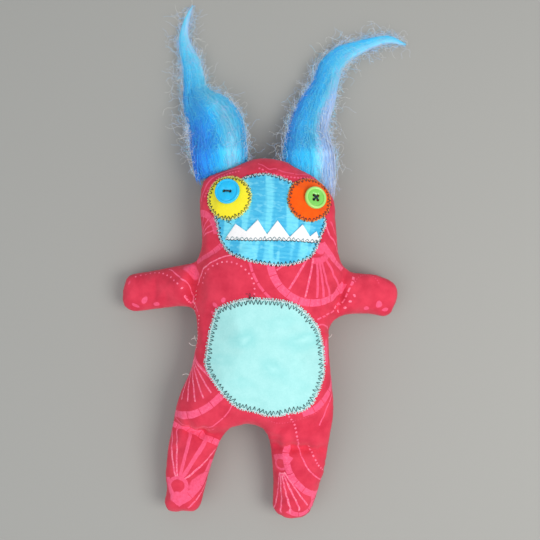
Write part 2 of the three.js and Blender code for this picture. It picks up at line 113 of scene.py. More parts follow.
# The toy's outline in millimetres, along its side seam: from the top of the head down its left side,
# round the arm, the legs and the other arm, and back
OUTLINE = [
    (0, 125.5), (-12, 124.8), (-20, 121.5), (-31, 115.8), (-41, 111.3), (-47.3, 108), (-50.4, 102.6),
    (-51.2, 93), (-50.6, 82), (-48.3, 68), (-48, 57), (-48.9, 49.5),
    (-51.5, 45.6), (-64, 42), (-82, 36.9), (-97.5, 33), (-101.8, 29.5), (-104, 21.5), (-103.9, 13),
    (-101.9, 8), (-98, 5.2), (-91, 4.5), (-74, 8.2), (-57, 11.6), (-49.5, 10.6),
    (-46.9, 6), (-45.6, -3), (-45.4, -12), (-46.2, -22), (-47.2, -31), (-49.6, -39), (-52.8, -47.5),
    (-55, -57), (-56.3, -66), (-57, -75),
    (-58.6, -86), (-59.5, -98), (-59.5, -112), (-58.6, -126), (-59.3, -134.5), (-57, -139.5),
    (-52, -141.8), (-44, -140.4), (-36, -140.2), (-32, -136.5), (-30.2, -130), (-26.8, -109),
    (-22.4, -90.7), (-19.2, -81),
    (-14, -73.8), (-8.8, -71), (-2, -69.6), (4.3, -70), (9.3, -72.2), (13.7, -77.5),
    (16.6, -89), (19.1, -105), (20.4, -119), (21, -129), (23, -134), (27.1, -136.4), (32.5, -138.8),
    (41.4, -138), (47.5, -135), (50.8, -130.5), (54.1, -120), (57, -102), (58.3, -84),
    (58.9, -73), (59.5, -60), (59.3, -47), (57.8, -36.5), (55.6, -24), (53.6, -12), (52.3, -1),
    (52.4, 6.5),
    (55.5, 11.8), (61.6, 15.4), (69, 16.7), (82, 17.3), (93, 16.6), (97, 18.6), (99.4, 24),
    (101.6, 31.5), (101.2, 38), (98, 43), (92, 46), (83, 48.2), (72, 48.2), (64.5, 48.4),
    (59, 51.6), (55.5, 56.5), (53, 64.5), (51.3, 74), (49.6, 84.5), (48, 95), (44.6, 103), (37.4, 110),
    (29.4, 115.9), (18, 120.5), (9, 124.2),
]


class PlushBodySettings(bpy.types.PropertyGroup):
    cell: FloatProperty(
        name="Cloth Mesh", description="Width of the cloth's mesh before it is smoothed",
        default=0.0022, unit="LENGTH",
    )
    fullness: FloatProperty(
        name="Fullness", description="Height that the stuffing would reach in a very wide bag",
        default=0.0345, unit="LENGTH",
    )
    reach: FloatProperty(
        name="Rounding", description="Distance over which the stuffing reaches its height",
        default=0.050, unit="LENGTH",
    )
    ease: FloatProperty(
        name="Ease", description="Share by which the cloth is cut longer than the form that it covers",
        default=0.025, min=0, max=0.3,
    )
    pressure: FloatProperty(
        name="Stuffing Pressure", description="How hard the stuffing presses outwards",
        default=4.0, min=0,
    )
    pucker: FloatProperty(
        name="Pucker", description="Height of the small puckers along the side seam",
        default=0.0005, unit="LENGTH",
    )
    gather: FloatProperty(
        name="Gathers", description="Height of the folds that run across each limb's crease",
        default=0.0034, unit="LENGTH",
    )


def look(hex_colour):
    """A colour as seen on a screen, made linear for the shaders."""
    values = [int(hex_colour[k:k + 2], 16) / 255 for k in (1, 3, 5)]
    return tuple(v / 12.92 if v <= 0.04045 else ((v + 0.055) / 1.055) ** 2.4 for v in values) + (1.0,)


def travelled(rows):
    """How far along a line of points each of them lies."""
    return np.concatenate([[0], np.cumsum(np.linalg.norm(np.diff(rows, axis=0), axis=1))])


def between(spots, known, rows):
    """Rows of values at other spots than the known ones, worked out between their neighbours."""
    return np.column_stack([np.interp(spots, known, column) for column in rows.T])


def smooth_loop(points, step):
    """A closed smooth curve through the points, with a point every step."""
    rows = np.array(points, float)
    before, after, last = np.roll(rows, 1, 0), np.roll(rows, -1, 0), np.roll(rows, -2, 0)
    t = np.linspace(0, 1, 24, endpoint=False)[:, None, None]
    curve = 0.5 * (
        2 * rows + (after - before) * t + (2 * before - 5 * rows + 4 * after - last) * t**2
        + (3 * rows - before - 3 * after + last) * t**3
    )
    curve = curve.transpose(1, 0, 2).reshape(-1, 2)
    closed = np.vstack([curve, curve[:1]])
    travel = travelled(closed)
    even = np.linspace(0, travel[-1], int(travel[-1] / step) + 1)[:-1]
    return between(even, travel, closed)


def depth_inside(points, loop):
    """How far each point lies inside a closed loop, less than 0 outside, and the loop's nearest point."""
    depth, nearest = np.empty(len(points)), np.empty((len(points), 2))
    start, along = loop, np.roll(loop, -1, 0) - loop
    square = (along**2).sum(1)
    for first in range(0, len(points), 2000):
        part = points[first:first + 2000]
        offset = part[:, None, :] - start[None]
        share = np.clip((offset * along).sum(2) / square, 0, 1)
        away = offset - share[..., None] * along
        distance = np.sqrt((away**2).sum(2))
        best = distance.argmin(1)
        rows = np.arange(len(part))
        nearest[first:first + 2000] = start[best] + share[rows, best, None] * along[best]
        rises = (start[:, 1] <= part[:, 1:]) != (start[:, 1] + along[:, 1] <= part[:, 1:])
        height = np.where(along[:, 1] == 0, 1, along[:, 1])
        crossing = start[:, 0] + (part[:, 1:] - start[:, 1]) / height * along[:, 0]
        inside = (rises & (crossing > part[:, :1])).sum(1) % 2 == 1
        depth[first:first + 2000] = np.where(inside, 1, -1) * distance[rows, best]
    return depth, nearest


def cut_panel(loop, cell, corners=()):
    """A flat piece of cloth: a fine grid, cut off outside the loop, with its rim on the loop and sharp at the
    corners."""
    low, high = loop.min(0) - cell, loop.max(0) + cell
    size = high - low
    panel = bmesh.new()
    columns, rows = (int(round(s / cell)) for s in size)
    bmesh.ops.create_grid(panel, x_segments=columns, y_segments=rows, size=0.5)
    bmesh.ops.scale(panel, vec=(size[0], size[1], 1), verts=panel.verts)
    bmesh.ops.translate(panel, vec=(*(low + high) / 2, 0), verts=panel.verts)
    depth, _ = depth_inside(np.array([v.co[:2] for v in panel.verts]), loop)
    panel.verts.index_update()
    spare = {f for f in panel.faces if any(depth[v.index] < 0.9 * cell for v in f.verts)}
    while spare:
        bmesh.ops.delete(panel, geom=list(spare), context="FACES")
        pinched = [v for v in panel.verts if sum(e.is_boundary for e in v.link_edges) > 2]
        spare = {f for v in pinched for f in v.link_faces}
    rim = [v for v in panel.verts if v.is_boundary]
    beside = [[e.other_vert(v) for e in v.link_edges if e.is_boundary] for v in rim]
    for _ in range(8):
        eased = np.array([(v.co * 0.5 + (a.co + b.co) * 0.25)[:2] for v, (a, b) in zip(rim, beside)])
        depth, snapped = depth_inside(eased, loop)
        inward = (eased - snapped) / depth[:, None]
        for vertex, place in zip(rim, snapped + inward * cell):
            vertex.co.x, vertex.co.y = place
    inner = [v for v in panel.verts if not v.is_boundary]
    for _ in range(6):
        bmesh.ops.smooth_vert(
            panel, verts=inner, factor=0.4, use_axis_x=True, use_axis_y=True, use_axis_z=False,
        )
    hem = bmesh.ops.extrude_edge_only(panel, edges=[e for e in panel.edges if e.is_boundary])
    hem = [g for g in hem["geom"] if isinstance(g, bmesh.types.BMVert)]
    _, snapped = depth_inside(np.array([v.co[:2] for v in hem]), loop)
    for vertex, place in zip(hem, snapped):
        vertex.co.x, vertex.co.y = place
    for x, y in corners:
        min(hem, key=lambda v: (v.co.x - x) ** 2 + (v.co.y - y) ** 2).co = x, y, 0
    bmesh.ops.recalc_face_normals(panel, faces=panel.faces)
    if panel.faces[:][0].normal.z < 0:
        bmesh.ops.reverse_faces(panel, faces=panel.faces)
    return panel


def finished(name, made, material=None, smooth=True):
    """Turns a bmesh into an object at the origin."""
    mesh = bpy.data.meshes.new(name)
    made.to_mesh(mesh)
    made.free()
    for polygon in mesh.polygons:
        polygon.use_smooth = smooth
    result = bpy.data.objects.new(name, mesh)
    bpy.context.scene.collection.objects.link(result)
    if material:
        mesh.materials.append(material)
    return result


def membrane(panel):
    """How a flat bag swells: each inner vertex gets a height like that of a soap film over the outline."""
    panel.verts.index_update()
    count = len(panel.verts)
    ends = np.array([[v.index for v in e.verts] for e in panel.edges])
    length = np.array([e.calc_length() for e in panel.edges])
    cell = np.median(length)
    weight = cell / length
    fixed = np.array([v.is_boundary for v in panel.verts])

    def pull(u):
        flow = weight * (u[ends[:, 0]] - u[ends[:, 1]])
        total = np.bincount(ends[:, 0], flow, count) - np.bincount(ends[:, 1], flow, count)
        return np.where(fixed, 0, total)

    u = np.zeros(count)
    rest = np.where(fixed, 0, cell**2)
    way = rest.copy()
    power = rest @ rest
    for _ in range(600):
        pulled = pull(way)
        step = power / (way @ pulled)
        u += step * way
        rest -= step * pulled
        fresh = rest @ rest
        if fresh < 1e-18 * cell**4 * count:
            break
        way = rest + fresh / power * way
        power = fresh
    return np.sqrt(2 * np.maximum(u, 0))


def crease_of(limb):
    """Middle of the crease at a limb's root and the direction away from the body, both flat."""
    joint = JOINTS[limb]
    outward = UP.cross(Vector(joint["axis"]))
    pivot = Vector(joint["pos_m"])
    inset = CREASE_INSET[limb] * MM
    return Vector((pivot.x, pivot.y, 0)) - outward * inset, outward


def crease_frame(limb, places):
    """How far places lie out past a limb's crease and to the side of its middle."""
    middle, outward = crease_of(limb)
    offset = places[:, :2] - np.array(middle[:2])
    return offset @ np.array(outward[:2]), offset @ np.array((-outward.y, outward.x))


def ramp(value, low, high):
    """Smoothly from 0 at low to 1 at high."""
    t = np.clip((value - low) / (high - low), 0, 1)
    return t * t * (3 - 2 * t)


# Where along the toy its form grows squarer, towards the head, in metres, and the shares by which it is then
# lower and reaches its height sooner
SQUARER_FROM, SQUARER_TO = 0.060, 0.090
SQUARER_LOWER, SQUARER_SOONER = 0.1, 0.3
# A limb's own form ends between these shares of its half width to each side
LIMB_SIDES = (1.15, 1.5)
# Between these shares of its length, from its crease, a limb's seam goes down to the limb's own level
LIMB_FALLS = (-0.1, 0.75)
# How far past its crease a limb begins to be thicker and is at its full thickness, in metres
LIMB_FILLS = (0.002, 0.040)
# A crease is a dip with a fine groove in its middle: their widths in metres and the groove's depth as a share
DIP_WIDTH, GROOVE_WIDTH, GROOVE_DEPTH = 0.0055, 0.002, 0.22


def body_levels(places, swell, settings):
    """Height of the seam and thickness above and below it, for places in the plan."""
    level = np.full(len(places), SEAM_LEVEL)
    squarer = ramp(places[:, 1], SQUARER_FROM, SQUARER_TO)
    reach = settings.reach * (1 - SQUARER_SOONER * squarer)
    half = settings.fullness * (1 - SQUARER_LOWER * squarer) * (1 - np.exp(-swell / reach))
    for limb in LIMBS:
        out, side = crease_frame(limb, places)
        width = CREASE_HALF[limb] * MM
        belongs = 1 - ramp(np.abs(side), *[width * share for share in LIMB_SIDES])
        drop = SEAM_LEVEL - limb_level(limb)
        level -= belongs * drop * ramp(out, *[share * LIMB_LENGTH[limb] * MM for share in LIMB_FALLS])
        half *= 1 + belongs * ramp(out, *LIMB_FILLS) * (LIMB_GAIN[limb] - 1)
        dip = CREASE_DEPTH[limb] * np.exp(-(out / DIP_WIDTH) ** 2)
        dip += GROOVE_DEPTH * np.exp(-(out / GROOVE_WIDTH) ** 2)
        half *= 1 - belongs * dip
    return level, half


def flat_pattern(places, ends, start, rounds=900):
    """Lays a curved panel flat: start is moved until each edge is as long as it is on the form."""
    flat = start.copy()
    target = np.linalg.norm(places[ends[:, 0]] - places[ends[:, 1]], axis=1)
    count = len(flat)
    share = np.bincount(ends.ravel(), minlength=count)[:, None]
    for _ in range(rounds):
        way = flat[ends[:, 1]] - flat[ends[:, 0]]
        length = np.linalg.norm(way, axis=1)
        push = way * (1 - target / np.maximum(length, 1e-9))[:, None]
        for k in (0, 1):
            total = np.bincount(ends[:, 0], push[:, k], count) - np.bincount(ends[:, 1], push[:, k], count)
            flat[:, k] += 0.9 * total / share[:, 0]
    return flat - flat.mean(0) + start.mean(0)


# The flat pattern is worked out from the plan, made this many times larger
PATTERN_START = 1.06
# Where the back's print lies against the front's, mirrored, in metres
BACK_SHIFT = np.array((0.013, -0.021))


def stuffed_bag(settings):
    """Both cloth panels, sewn together along the outline and filled, with their flat pattern as a UV map."""
    bag = cut_panel(smooth_loop(OUTLINE, 1.0) * MM, settings.cell)
    swell = membrane(bag)
    places = np.array([v.co[:2] for v in bag.verts])
    level, half = body_levels(places, swell, settings)
    place = bag.verts.layers.int.new("place")
    from_seam = bag.verts.layers.float.new("from_seam")
    for k, vertex in enumerate(bag.verts):
        vertex[place] = k
        vertex[from_seam] = swell[k]
    ends = np.array([[v.index for v in e.verts] for e in bag.edges])
    front = list(bag.faces)
    top = list(bag.verts)
    rim = {k for k, v in enumerate(top) if v.is_boundary}
    copied = bmesh.ops.duplicate(bag, geom=bag.verts[:] + bag.edges[:] + bag.faces[:])
    back = [g for g in copied["geom"] if isinstance(g, bmesh.types.BMFace)]
    bmesh.ops.reverse_faces(bag, faces=back)
    uv = bag.loops.layers.uv.new("pattern")
    for faces, side in ((front, 1), (back, -1)):
        height = level + side * half
        shape = np.column_stack([places, height])
        flat = flat_pattern(shape, ends, places * PATTERN_START) * (side, 1)
        flat += (0, 0) if side > 0 else BACK_SHIFT
        for face in faces:
            for loop in face.loops:
                loop.vert.co.z = height[loop.vert[place]]
                loop[uv].uv = flat[loop.vert[place]]
    below = [g for g in copied["geom"] if isinstance(g, bmesh.types.BMVert)]
    bmesh.ops.weld_verts(bag, targetmap={low: top[low[place]] for low in below if low[place] in rim})
    return bag


# How many steps the bag is blown for, and how far each point of it may move in them, in metres
BLOWN_FRAMES = 25
BLOWN_CAP = 0.005


def blown(bag, settings):
    """Presses the stuffing against the sewn bag by a cloth simulation with its seam and creases held."""
    places = np.array([v.co for v in bag.data.vertices])
    pins = bag.vertex_groups.new(name="held")
    for vertex, weight in enumerate(hold(bag)):
        if weight > 0:
            pins.add([vertex], float(weight), "REPLACE")
    cloth = bag.modifiers.new("Cloth", "CLOTH")
    cloth.collision_settings.use_collision = False
    fabric = cloth.settings
    fabric.quality = 6
    fabric.mass = 0.02
    fabric.tension_stiffness = fabric.compression_stiffness = 20
    fabric.shear_stiffness = 5
    fabric.bending_stiffness = 0.02
    fabric.vertex_group_mass = "held"
    fabric.pin_stiffness = 1
    fabric.use_pressure = True
    fabric.uniform_pressure_force = settings.pressure
    fabric.shrink_min = -settings.ease
    fabric.effector_weights.gravity = 0
    cloth.point_cache.frame_start, cloth.point_cache.frame_end = 1, BLOWN_FRAMES
    for number in range(1, BLOWN_FRAMES + 1):
        bpy.context.scene.frame_set(number)
    seen = bag.evaluated_get(bpy.context.evaluated_depsgraph_get())
    moved = np.array([v.co for v in seen.data.vertices])
    bag.modifiers.remove(cloth)
    bag.vertex_groups.remove(pins)
    bpy.context.scene.frame_set(1)
    way = moved - places
    far = np.linalg.norm(way, axis=1)
    way *= np.minimum(1, BLOWN_CAP / np.maximum(far, 1e-9))[:, None]
    bag.data.vertices.foreach_set("co", (places + way).astype(np.float32).ravel())
    bag.data.update()


# While the bag is blown each crease is held in a narrow band: half its width in metres, how many times the
# limb's half width it reaches to each side, and how fast it is held
HELD_BAND, HELD_REACH, HELD_FAST = 0.0016, 1.2, 0.6


def hold(bag):
    """How fast each vertex of the bag is held while it is blown: 1 along the seam, less at the creases."""
    places = np.array([v.co for v in bag.data.vertices])
    from_seam = np.zeros(len(places), np.float32)
    bag.data.attributes["from_seam"].data.foreach_get("value", from_seam)
    held = (from_seam == 0).astype(float)
    for limb in LIMBS:
        out, side = crease_frame(limb, places)
        near = (np.abs(out) < HELD_BAND) & (np.abs(side) < CREASE_HALF[limb] * MM * HELD_REACH)
        held[near] = np.maximum(held[near], HELD_FAST)
    return held


def feed(tree, node, inputs):
    """Sets a node's inputs, by name or in their order, each to a value, a socket or a node's first output."""
    for socket, value in inputs.items() if isinstance(inputs, dict) else enumerate(inputs):
        if isinstance(value, bpy.types.Node):
            value = value.outputs[0]
        if isinstance(value, bpy.types.NodeSocket):
            tree.links.new(value, node.inputs[socket])
        else:
            node.inputs[socket].default_value = value


def put(tree, kind, inputs=(), **settings):
    """Adds a shader node with its settings and links."""
    made = tree.nodes.new("ShaderNode" + kind)
    for name, value in settings.items():
        setattr(made, name, value)
    feed(tree, made, inputs)
    return made


def new_material(name):
    """A new material with a plain shader: the material, its node tree and the shader."""
    material = bpy.data.materials.new(name)
    material.use_nodes = True
    tree = material.node_tree
    tree.nodes.clear()
    shader = put(tree, "BsdfPrincipled")
    put(tree, "OutputMaterial", {"Surface": shader})
    return material, tree, shader


class PlushStageSettings(bpy.types.PropertyGroup):
    floor: FloatVectorProperty(
        name="Floor", description="Colour of the plain floor", subtype="COLOR",
        default=(0.375, 0.366, 0.34), min=0, max=1,
    )
    camera_height: FloatProperty(
        name="Camera Height", description="Height of the camera over the surface",
        default=0.55, unit="LENGTH",
    )
    camera_turn: FloatProperty(
        name="Camera Turn", description="Angle between the toy and the picture's upright",
        default=math.radians(5), subtype="ANGLE",
    )
    field: FloatProperty(
        name="Field", description="Width that the camera sees at the height of the seam",
        default=0.3942, unit="LENGTH",
    )


# The point of the toy's frame, in millimetres, that the camera is straight above
CAMERA_OVER = np.array((4.55, 44.37))
# Each lamp's place, width, power and colour: a broad key from the right and a weaker fill
LAMPS = (
    ("key", (0.55, -0.1, 0.8), 0.5, 5.0, (1, 0.98, 0.95)),
    ("fill", (-0.5, -0.4, 0.8), 0.9, 2.4, (0.95, 0.97, 1)),
)
# Half the floor's width in metres, and the colour and strength of the light from all round
FLOOR_HALF = 1.5
ROOM_COLOUR, ROOM_STRENGTH = (0.9, 0.95, 1, 1), 0.64


class PLUSH_OT_stage(bpy.types.Operator):
    """Lays the plain floor and sets the lights and the camera straight above the toy"""

    bl_idname = "plush.stage"
    bl_label = "Stage"

    def execute(self, context):
        settings = context.scene.plush_stage
        paper, tree, shader = new_material("matt_paper_floor")
        feed(tree, shader, {"Base Color": (*settings.floor, 1), "Roughness": 0.85})
        made = bmesh.new()
        bmesh.ops.create_grid(made, x_segments=1, y_segments=1, size=FLOOR_HALF)
        floor = finished("floor", made, paper, smooth=False)
        self.camera(context, settings)
        for name, place, size, watts, colour in LAMPS:
            light = bpy.data.lights.new(name, "AREA")
            light.size, light.energy, light.color = size, watts, colour
            lamp = bpy.data.objects.new(name, light)
            lamp.location = place
            lamp.rotation_euler = (-Vector(place)).to_track_quat("-Z", "Y").to_euler()
            context.scene.collection.objects.link(lamp)
        world = bpy.data.worlds.new("soft_room")
        world.use_nodes = True
        background = world.node_tree.nodes["Background"].inputs
        background["Color"].default_value = ROOM_COLOUR
        background["Strength"].default_value = ROOM_STRENGTH
        context.scene.world = world
        context.scene.view_settings.view_transform = "Standard"
        return {"FINISHED"}

    def camera(self, context, settings):
        data = bpy.data.cameras.new("camera")
        data.sensor_width = 36
        distance = settings.camera_height - SEAM_LEVEL
        data.lens = data.sensor_width / 2 / (settings.field / 2 / distance)
        camera = bpy.data.objects.new("camera", data)
        camera.location = (*CAMERA_OVER * MM, settings.camera_height)
        camera.rotation_euler = (0, 0, settings.camera_turn)
        context.scene.collection.objects.link(camera)
        context.scene.camera = camera


# From one pucker of the seam to the next, and from one fold of a crease to the next, in metres
PUCKER_SPACING = 0.0035
GATHER_SPACING = 0.0075
# In from the seam, in metres: how far the puckers reach, over what they rise and over what they fade
PUCKER_REACH, PUCKER_RISE, PUCKER_FADE = 0.025, 0.002, 0.007
# Out from a crease, in metres: how far its gathers reach, how long they are and over what they fade, then
# over what they rise from the seam. Last, how many times the limb's half width they reach to each side
GATHER_REACH, GATHER_LENGTH, GATHER_FADE = 0.03, 0.022, 0.009
GATHER_RISE, GATHER_SPREAD = 0.004, 1.5
# The back is pressed flat at this height over the surface, in metres
FLAT_BACK = 0.0008


def puckered(mesh, settings):
    """Draws the cloth in along its side seam in small puckers, and lays its back flat."""
    count = len(mesh.vertices)
    places, normals = np.empty(count * 3, np.float32), np.empty(count * 3, np.float32)
    mesh.vertices.foreach_get("co", places)
    mesh.vertex_normals.foreach_get("vector", normals)
    places, normals = places.reshape(-1, 3), normals.reshape(-1, 3)
    from_seam = np.empty(count, np.float32)
    mesh.attributes["from_seam"].data.foreach_get("value", from_seam)
    near = np.where(from_seam < PUCKER_REACH)[0]
    wave = np.array([noise.noise(Vector(places[k]) / PUCKER_SPACING) for k in near])
    share = np.exp(-from_seam[near] / PUCKER_FADE) * (1 - np.exp(-from_seam[near] / PUCKER_RISE))
    places[near] += normals[near] * (settings.pucker * 2 * wave * share)[:, None]
    for limb in LIMBS:
        out, side = crease_frame(limb, places)
        spread = CREASE_HALF[limb] * MM * GATHER_SPREAD
        near = np.where((np.abs(out) < GATHER_REACH) & (np.abs(side) < spread))[0]
        row = LIMBS.index(limb) * 5.0
        folds = [noise.noise(Vector((out[k] / GATHER_LENGTH, side[k] / GATHER_SPACING, row))) for k in near]
        share = np.exp(-np.abs(out[near]) / GATHER_FADE) * (1 - np.exp(-from_seam[near] / GATHER_RISE))
        places[near] += normals[near] * (settings.gather * np.array(folds) * share)[:, None]
    low = places[:, 2] < FLAT_BACK
    places[low, 2] = FLAT_BACK * np.exp(places[low, 2] / FLAT_BACK - 1)
    mesh.vertices.foreach_set("co", places.ravel())
    mesh.update()


# A limb is cut off within this many times its half width to each side, through the faces this near, in metres
PARTED_SPREAD, PARTED_BAND = 1.55, 0.006


def parted(bag):
    """Parts the bag at the creases: a dictionary of meshes for the body and each limb."""
    whole = bmesh.new()
    whole.from_mesh(bag)
    part = whole.faces.layers.int.new("part")
    shade = whole.verts.layers.float_vector.new("shade")
    for number, limb in enumerate(LIMBS, 1):
        middle, outward = crease_of(limb)
        reach = CREASE_HALF[limb] * MM * PARTED_SPREAD
        centres = np.array([f.calc_center_median() for f in whole.faces])
        out, side = crease_frame(limb, centres)
        near = [f for f, o, s in zip(whole.faces, out, side) if abs(o) < PARTED_BAND and abs(s) < reach]
        edges = {e for f in near for e in f.edges}
        verts = {v for f in near for v in f.verts}
        bmesh.ops.bisect_plane(
            whole, geom=[*verts, *edges, *near], dist=1e-6, plane_co=middle, plane_no=outward,
        )
        centres = np.array([f.calc_center_median() for f in whole.faces])
        out, side = crease_frame(limb, centres)
        for face, o, s in zip(whole.faces, out, side):
            if o > 0 and abs(s) < reach:
                face[part] = number
    whole.normal_update()
    for vertex in whole.verts:
        vertex[shade] = vertex.normal
    pieces = {}
    for number, name in enumerate(("body", *LIMBS)):
        piece = whole.copy()
        mark = piece.faces.layers.int["part"]
        bmesh.ops.delete(piece, geom=[f for f in piece.faces if f[mark] != number], context="FACES")
        pieces[name] = finished(name + "_skin", piece)
        mesh = pieces[name].data
        normals = np.empty(len(mesh.vertices) * 3, np.float32)
        mesh.attributes["shade"].data.foreach_get("vector", normals)
        mesh.normals_split_custom_set_from_vertices(normals.reshape(-1, 3).tolist())
        for spare in ("shade", "part", "place"):
            mesh.attributes.remove(mesh.attributes[spare])
    whole.free()
    return pieces


class PLUSH_OT_skin(bpy.types.Operator):
    """Cuts, sews and fills the printed cotton bag, and parts it at the creases of the limbs"""

    bl_idname = "plush.skin"
    bl_label = "Stuffed Body"

    def execute(self, context):
        settings = context.scene.plush_body
        cotton = printed_cotton()
        bag = finished("bag", stuffed_bag(settings), cotton)
        blown(bag, settings)
        smooth = bag.modifiers.new("Smooth", "SUBSURF")
        smooth.levels = smooth.render_levels = 1
        mesh = bpy.data.meshes.new_from_object(bag.evaluated_get(context.evaluated_depsgraph_get()))
        bpy.data.objects.remove(bag)
        puckered(mesh, settings)
        for name, piece in parted(mesh).items():
            piece.data.materials.append(cotton)
            replaced = (name,) if name != "body" else ("torso", "head")
            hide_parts(*[n + kind for n in replaced for kind in ("_cover", "_filling")])
            if name == "body":
                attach(piece, "body")
                continue
            middle, outward = crease_of(name)
            middle.z = JOINTS[name]["pos_m"][2]
            tuple(middle)
            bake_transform(piece)
        return {"FINISHED"}


def new_group(name, inputs, outputs):
    """An empty node group with its sockets, and its input and output nodes."""
    tree = bpy.data.node_groups.new(name, "ShaderNodeTree")
    for socket in inputs:
        kind = "NodeSocketVector" if socket in ("Place", "Centre", "Half") else "NodeSocketFloat"
        tree.interface.new_socket(socket, in_out="INPUT", socket_type=kind)
    for socket in outputs:
        tree.interface.new_socket(socket, in_out="OUTPUT", socket_type="NodeSocketFloat")
    return tree, tree.nodes.new("NodeGroupInput").outputs, tree.nodes.new("NodeGroupOutput").inputs


def polar_group():
    """A node group that gives the distance from a centre and the share of the way round from one direction to
    another."""
    tree, given, result = new_group("polar_place", ("Place", "Centre", "From", "Span"), ("Radius", "Share"))
    offset = put(tree, "VectorMath", (given["Place"], given["Centre"]), operation="SUBTRACT")
    radius = put(tree, "VectorMath", (offset,), operation="LENGTH")
    split = put(tree, "SeparateXYZ", (offset,))
    turn = put(tree, "Math", (split.outputs[1], split.outputs[0]), operation="ARCTAN2")
    past = put(tree, "Math", (turn, given["From"]), operation="SUBTRACT")
    wrapped = put(tree, "Math", (past, 2 * math.pi, 0.0), operation="WRAP")
    share = put(tree, "Math", (wrapped, given["Span"]), operation="DIVIDE")
    tree.links.new(radius.outputs["Value"], result["Radius"])
    tree.links.new(share.outputs[0], result["Share"])
    return tree


# A distance that is wider than any mark of the print and half the width over which its ink ends, both in
# millimetres, and that half width for its ovals, as a share of their size
FAR_OFF, INK_EDGE, OVAL_EDGE = 9.0, 0.16, 0.12


def motif_groups():
    """The four stamps that the print is made of: bands, rows of dots, ribs and ovals."""
    polar = polar_group()
    groups = {}
    common = ("Place", "Centre", "From", "Span", "Radius")

    def polar_part(tree, given):
        sockets = {name: given[name] for name in common[:4]}
        part = put(tree, "Group", sockets, node_tree=polar)
        return part.outputs["Radius"], part.outputs["Share"]

    def repeated(tree, share, count):
        times = put(tree, "Math", (share, count), operation="MULTIPLY")
        return put(tree, "Math", (times,), operation="FRACT")

    def closing(tree, distance, size, share, result):
        low = put(tree, "Math", (size, INK_EDGE), operation="SUBTRACT")
        high = put(tree, "Math", (size, INK_EDGE), operation="ADD")
        near = put(tree, "MapRange", {
            "Value": distance, "From Min": high, "From Max": low, "To Min": 0.0, "To Max": 1.0,
        })
        within = put(tree, "Math", (share, 1.0), operation="LESS_THAN")
        ink = put(tree, "Math", (near, within), operation="MULTIPLY")
        tree.links.new(ink.outputs[0], result["Ink"])

    tree, given, result = new_group("printed_band", (*common, "Half Width", "Blocks", "Gap"), ("Ink",))
    radius, share = polar_part(tree, given)
    off = put(tree, "Math", (radius, given["Radius"]), operation="SUBTRACT")
    away = put(tree, "Math", (off,), operation="ABSOLUTE")
    block = repeated(tree, share, given["Blocks"])
    gap = put(tree, "Math", (block, given["Gap"]), operation="LESS_THAN")
    parted_by = put(tree, "Math", (gap, FAR_OFF, away), operation="MULTIPLY_ADD")
    closing(tree, parted_by, given["Half Width"], share, result)
    groups["band"] = tree

    tree, given, result = new_group("printed_dots", (*common, "Half Width", "Count"), ("Ink",))
    radius, share = polar_part(tree, given)
    step = repeated(tree, share, given["Count"])
    middle = put(tree, "Math", (step, 0.5), operation="SUBTRACT")
    length = put(tree, "Math", (given["Span"], given["Radius"]), operation="MULTIPLY")
    pitch = put(tree, "Math", (length, given["Count"]), operation="DIVIDE")
    along = put(tree, "Math", (middle, pitch), operation="MULTIPLY")
    off = put(tree, "Math", (radius, given["Radius"]), operation="SUBTRACT")
    flat = put(tree, "CombineXYZ", (along, off))
    away = put(tree, "VectorMath", (flat,), operation="LENGTH")
    closing(tree, away.outputs["Value"], given["Half Width"], share, result)
    groups["dots"] = tree

    tree, given, result = new_group("printed_ribs", (*common, "Hub", "Half Width", "Count"), ("Ink",))
    radius, share = polar_part(tree, given)
    step = repeated(tree, share, given["Count"])
    middle = put(tree, "Math", (step, 0.5), operation="SUBTRACT")
    beside = put(tree, "Math", (middle,), operation="ABSOLUTE")
    length = put(tree, "Math", (given["Span"], radius), operation="MULTIPLY")
    pitch = put(tree, "Math", (length, given["Count"]), operation="DIVIDE")
    away = put(tree, "Math", (beside, pitch), operation="MULTIPLY")
    short = put(tree, "Math", (radius, given["Hub"]), operation="LESS_THAN")
    long = put(tree, "Math", (radius, given["Radius"]), operation="GREATER_THAN")
    ends = put(tree, "Math", (short, long), operation="ADD")
    bounded = put(tree, "Math", (ends, FAR_OFF, away), operation="MULTIPLY_ADD")
    closing(tree, bounded, given["Half Width"], share, result)
    groups["ribs"] = tree

    tree, given, result = new_group("printed_oval", ("Place", "Centre", "Turn", "Half", "Soft"), ("Ink",))
    offset = put(tree, "VectorMath", (given["Place"], given["Centre"]), operation="SUBTRACT")
    turned = put(tree, "VectorRotate", {"Vector": offset, "Angle": given["Turn"]}, rotation_type="Z_AXIS")
    scaled = put(tree, "VectorMath", (turned, given["Half"]), operation="DIVIDE")
    away = put(tree, "VectorMath", (scaled,), operation="LENGTH")
    low = put(tree, "Math", (1.0, given["Soft"]), operation="SUBTRACT")
    high = put(tree, "Math", (1.0, given["Soft"]), operation="ADD")
    ink = put(tree, "MapRange", {"Value": away.outputs["Value"], "From Min": high, "From Max": low})
    tree.links.new(ink.outputs[0], result["Ink"])
    groups["oval"] = tree
    return groups


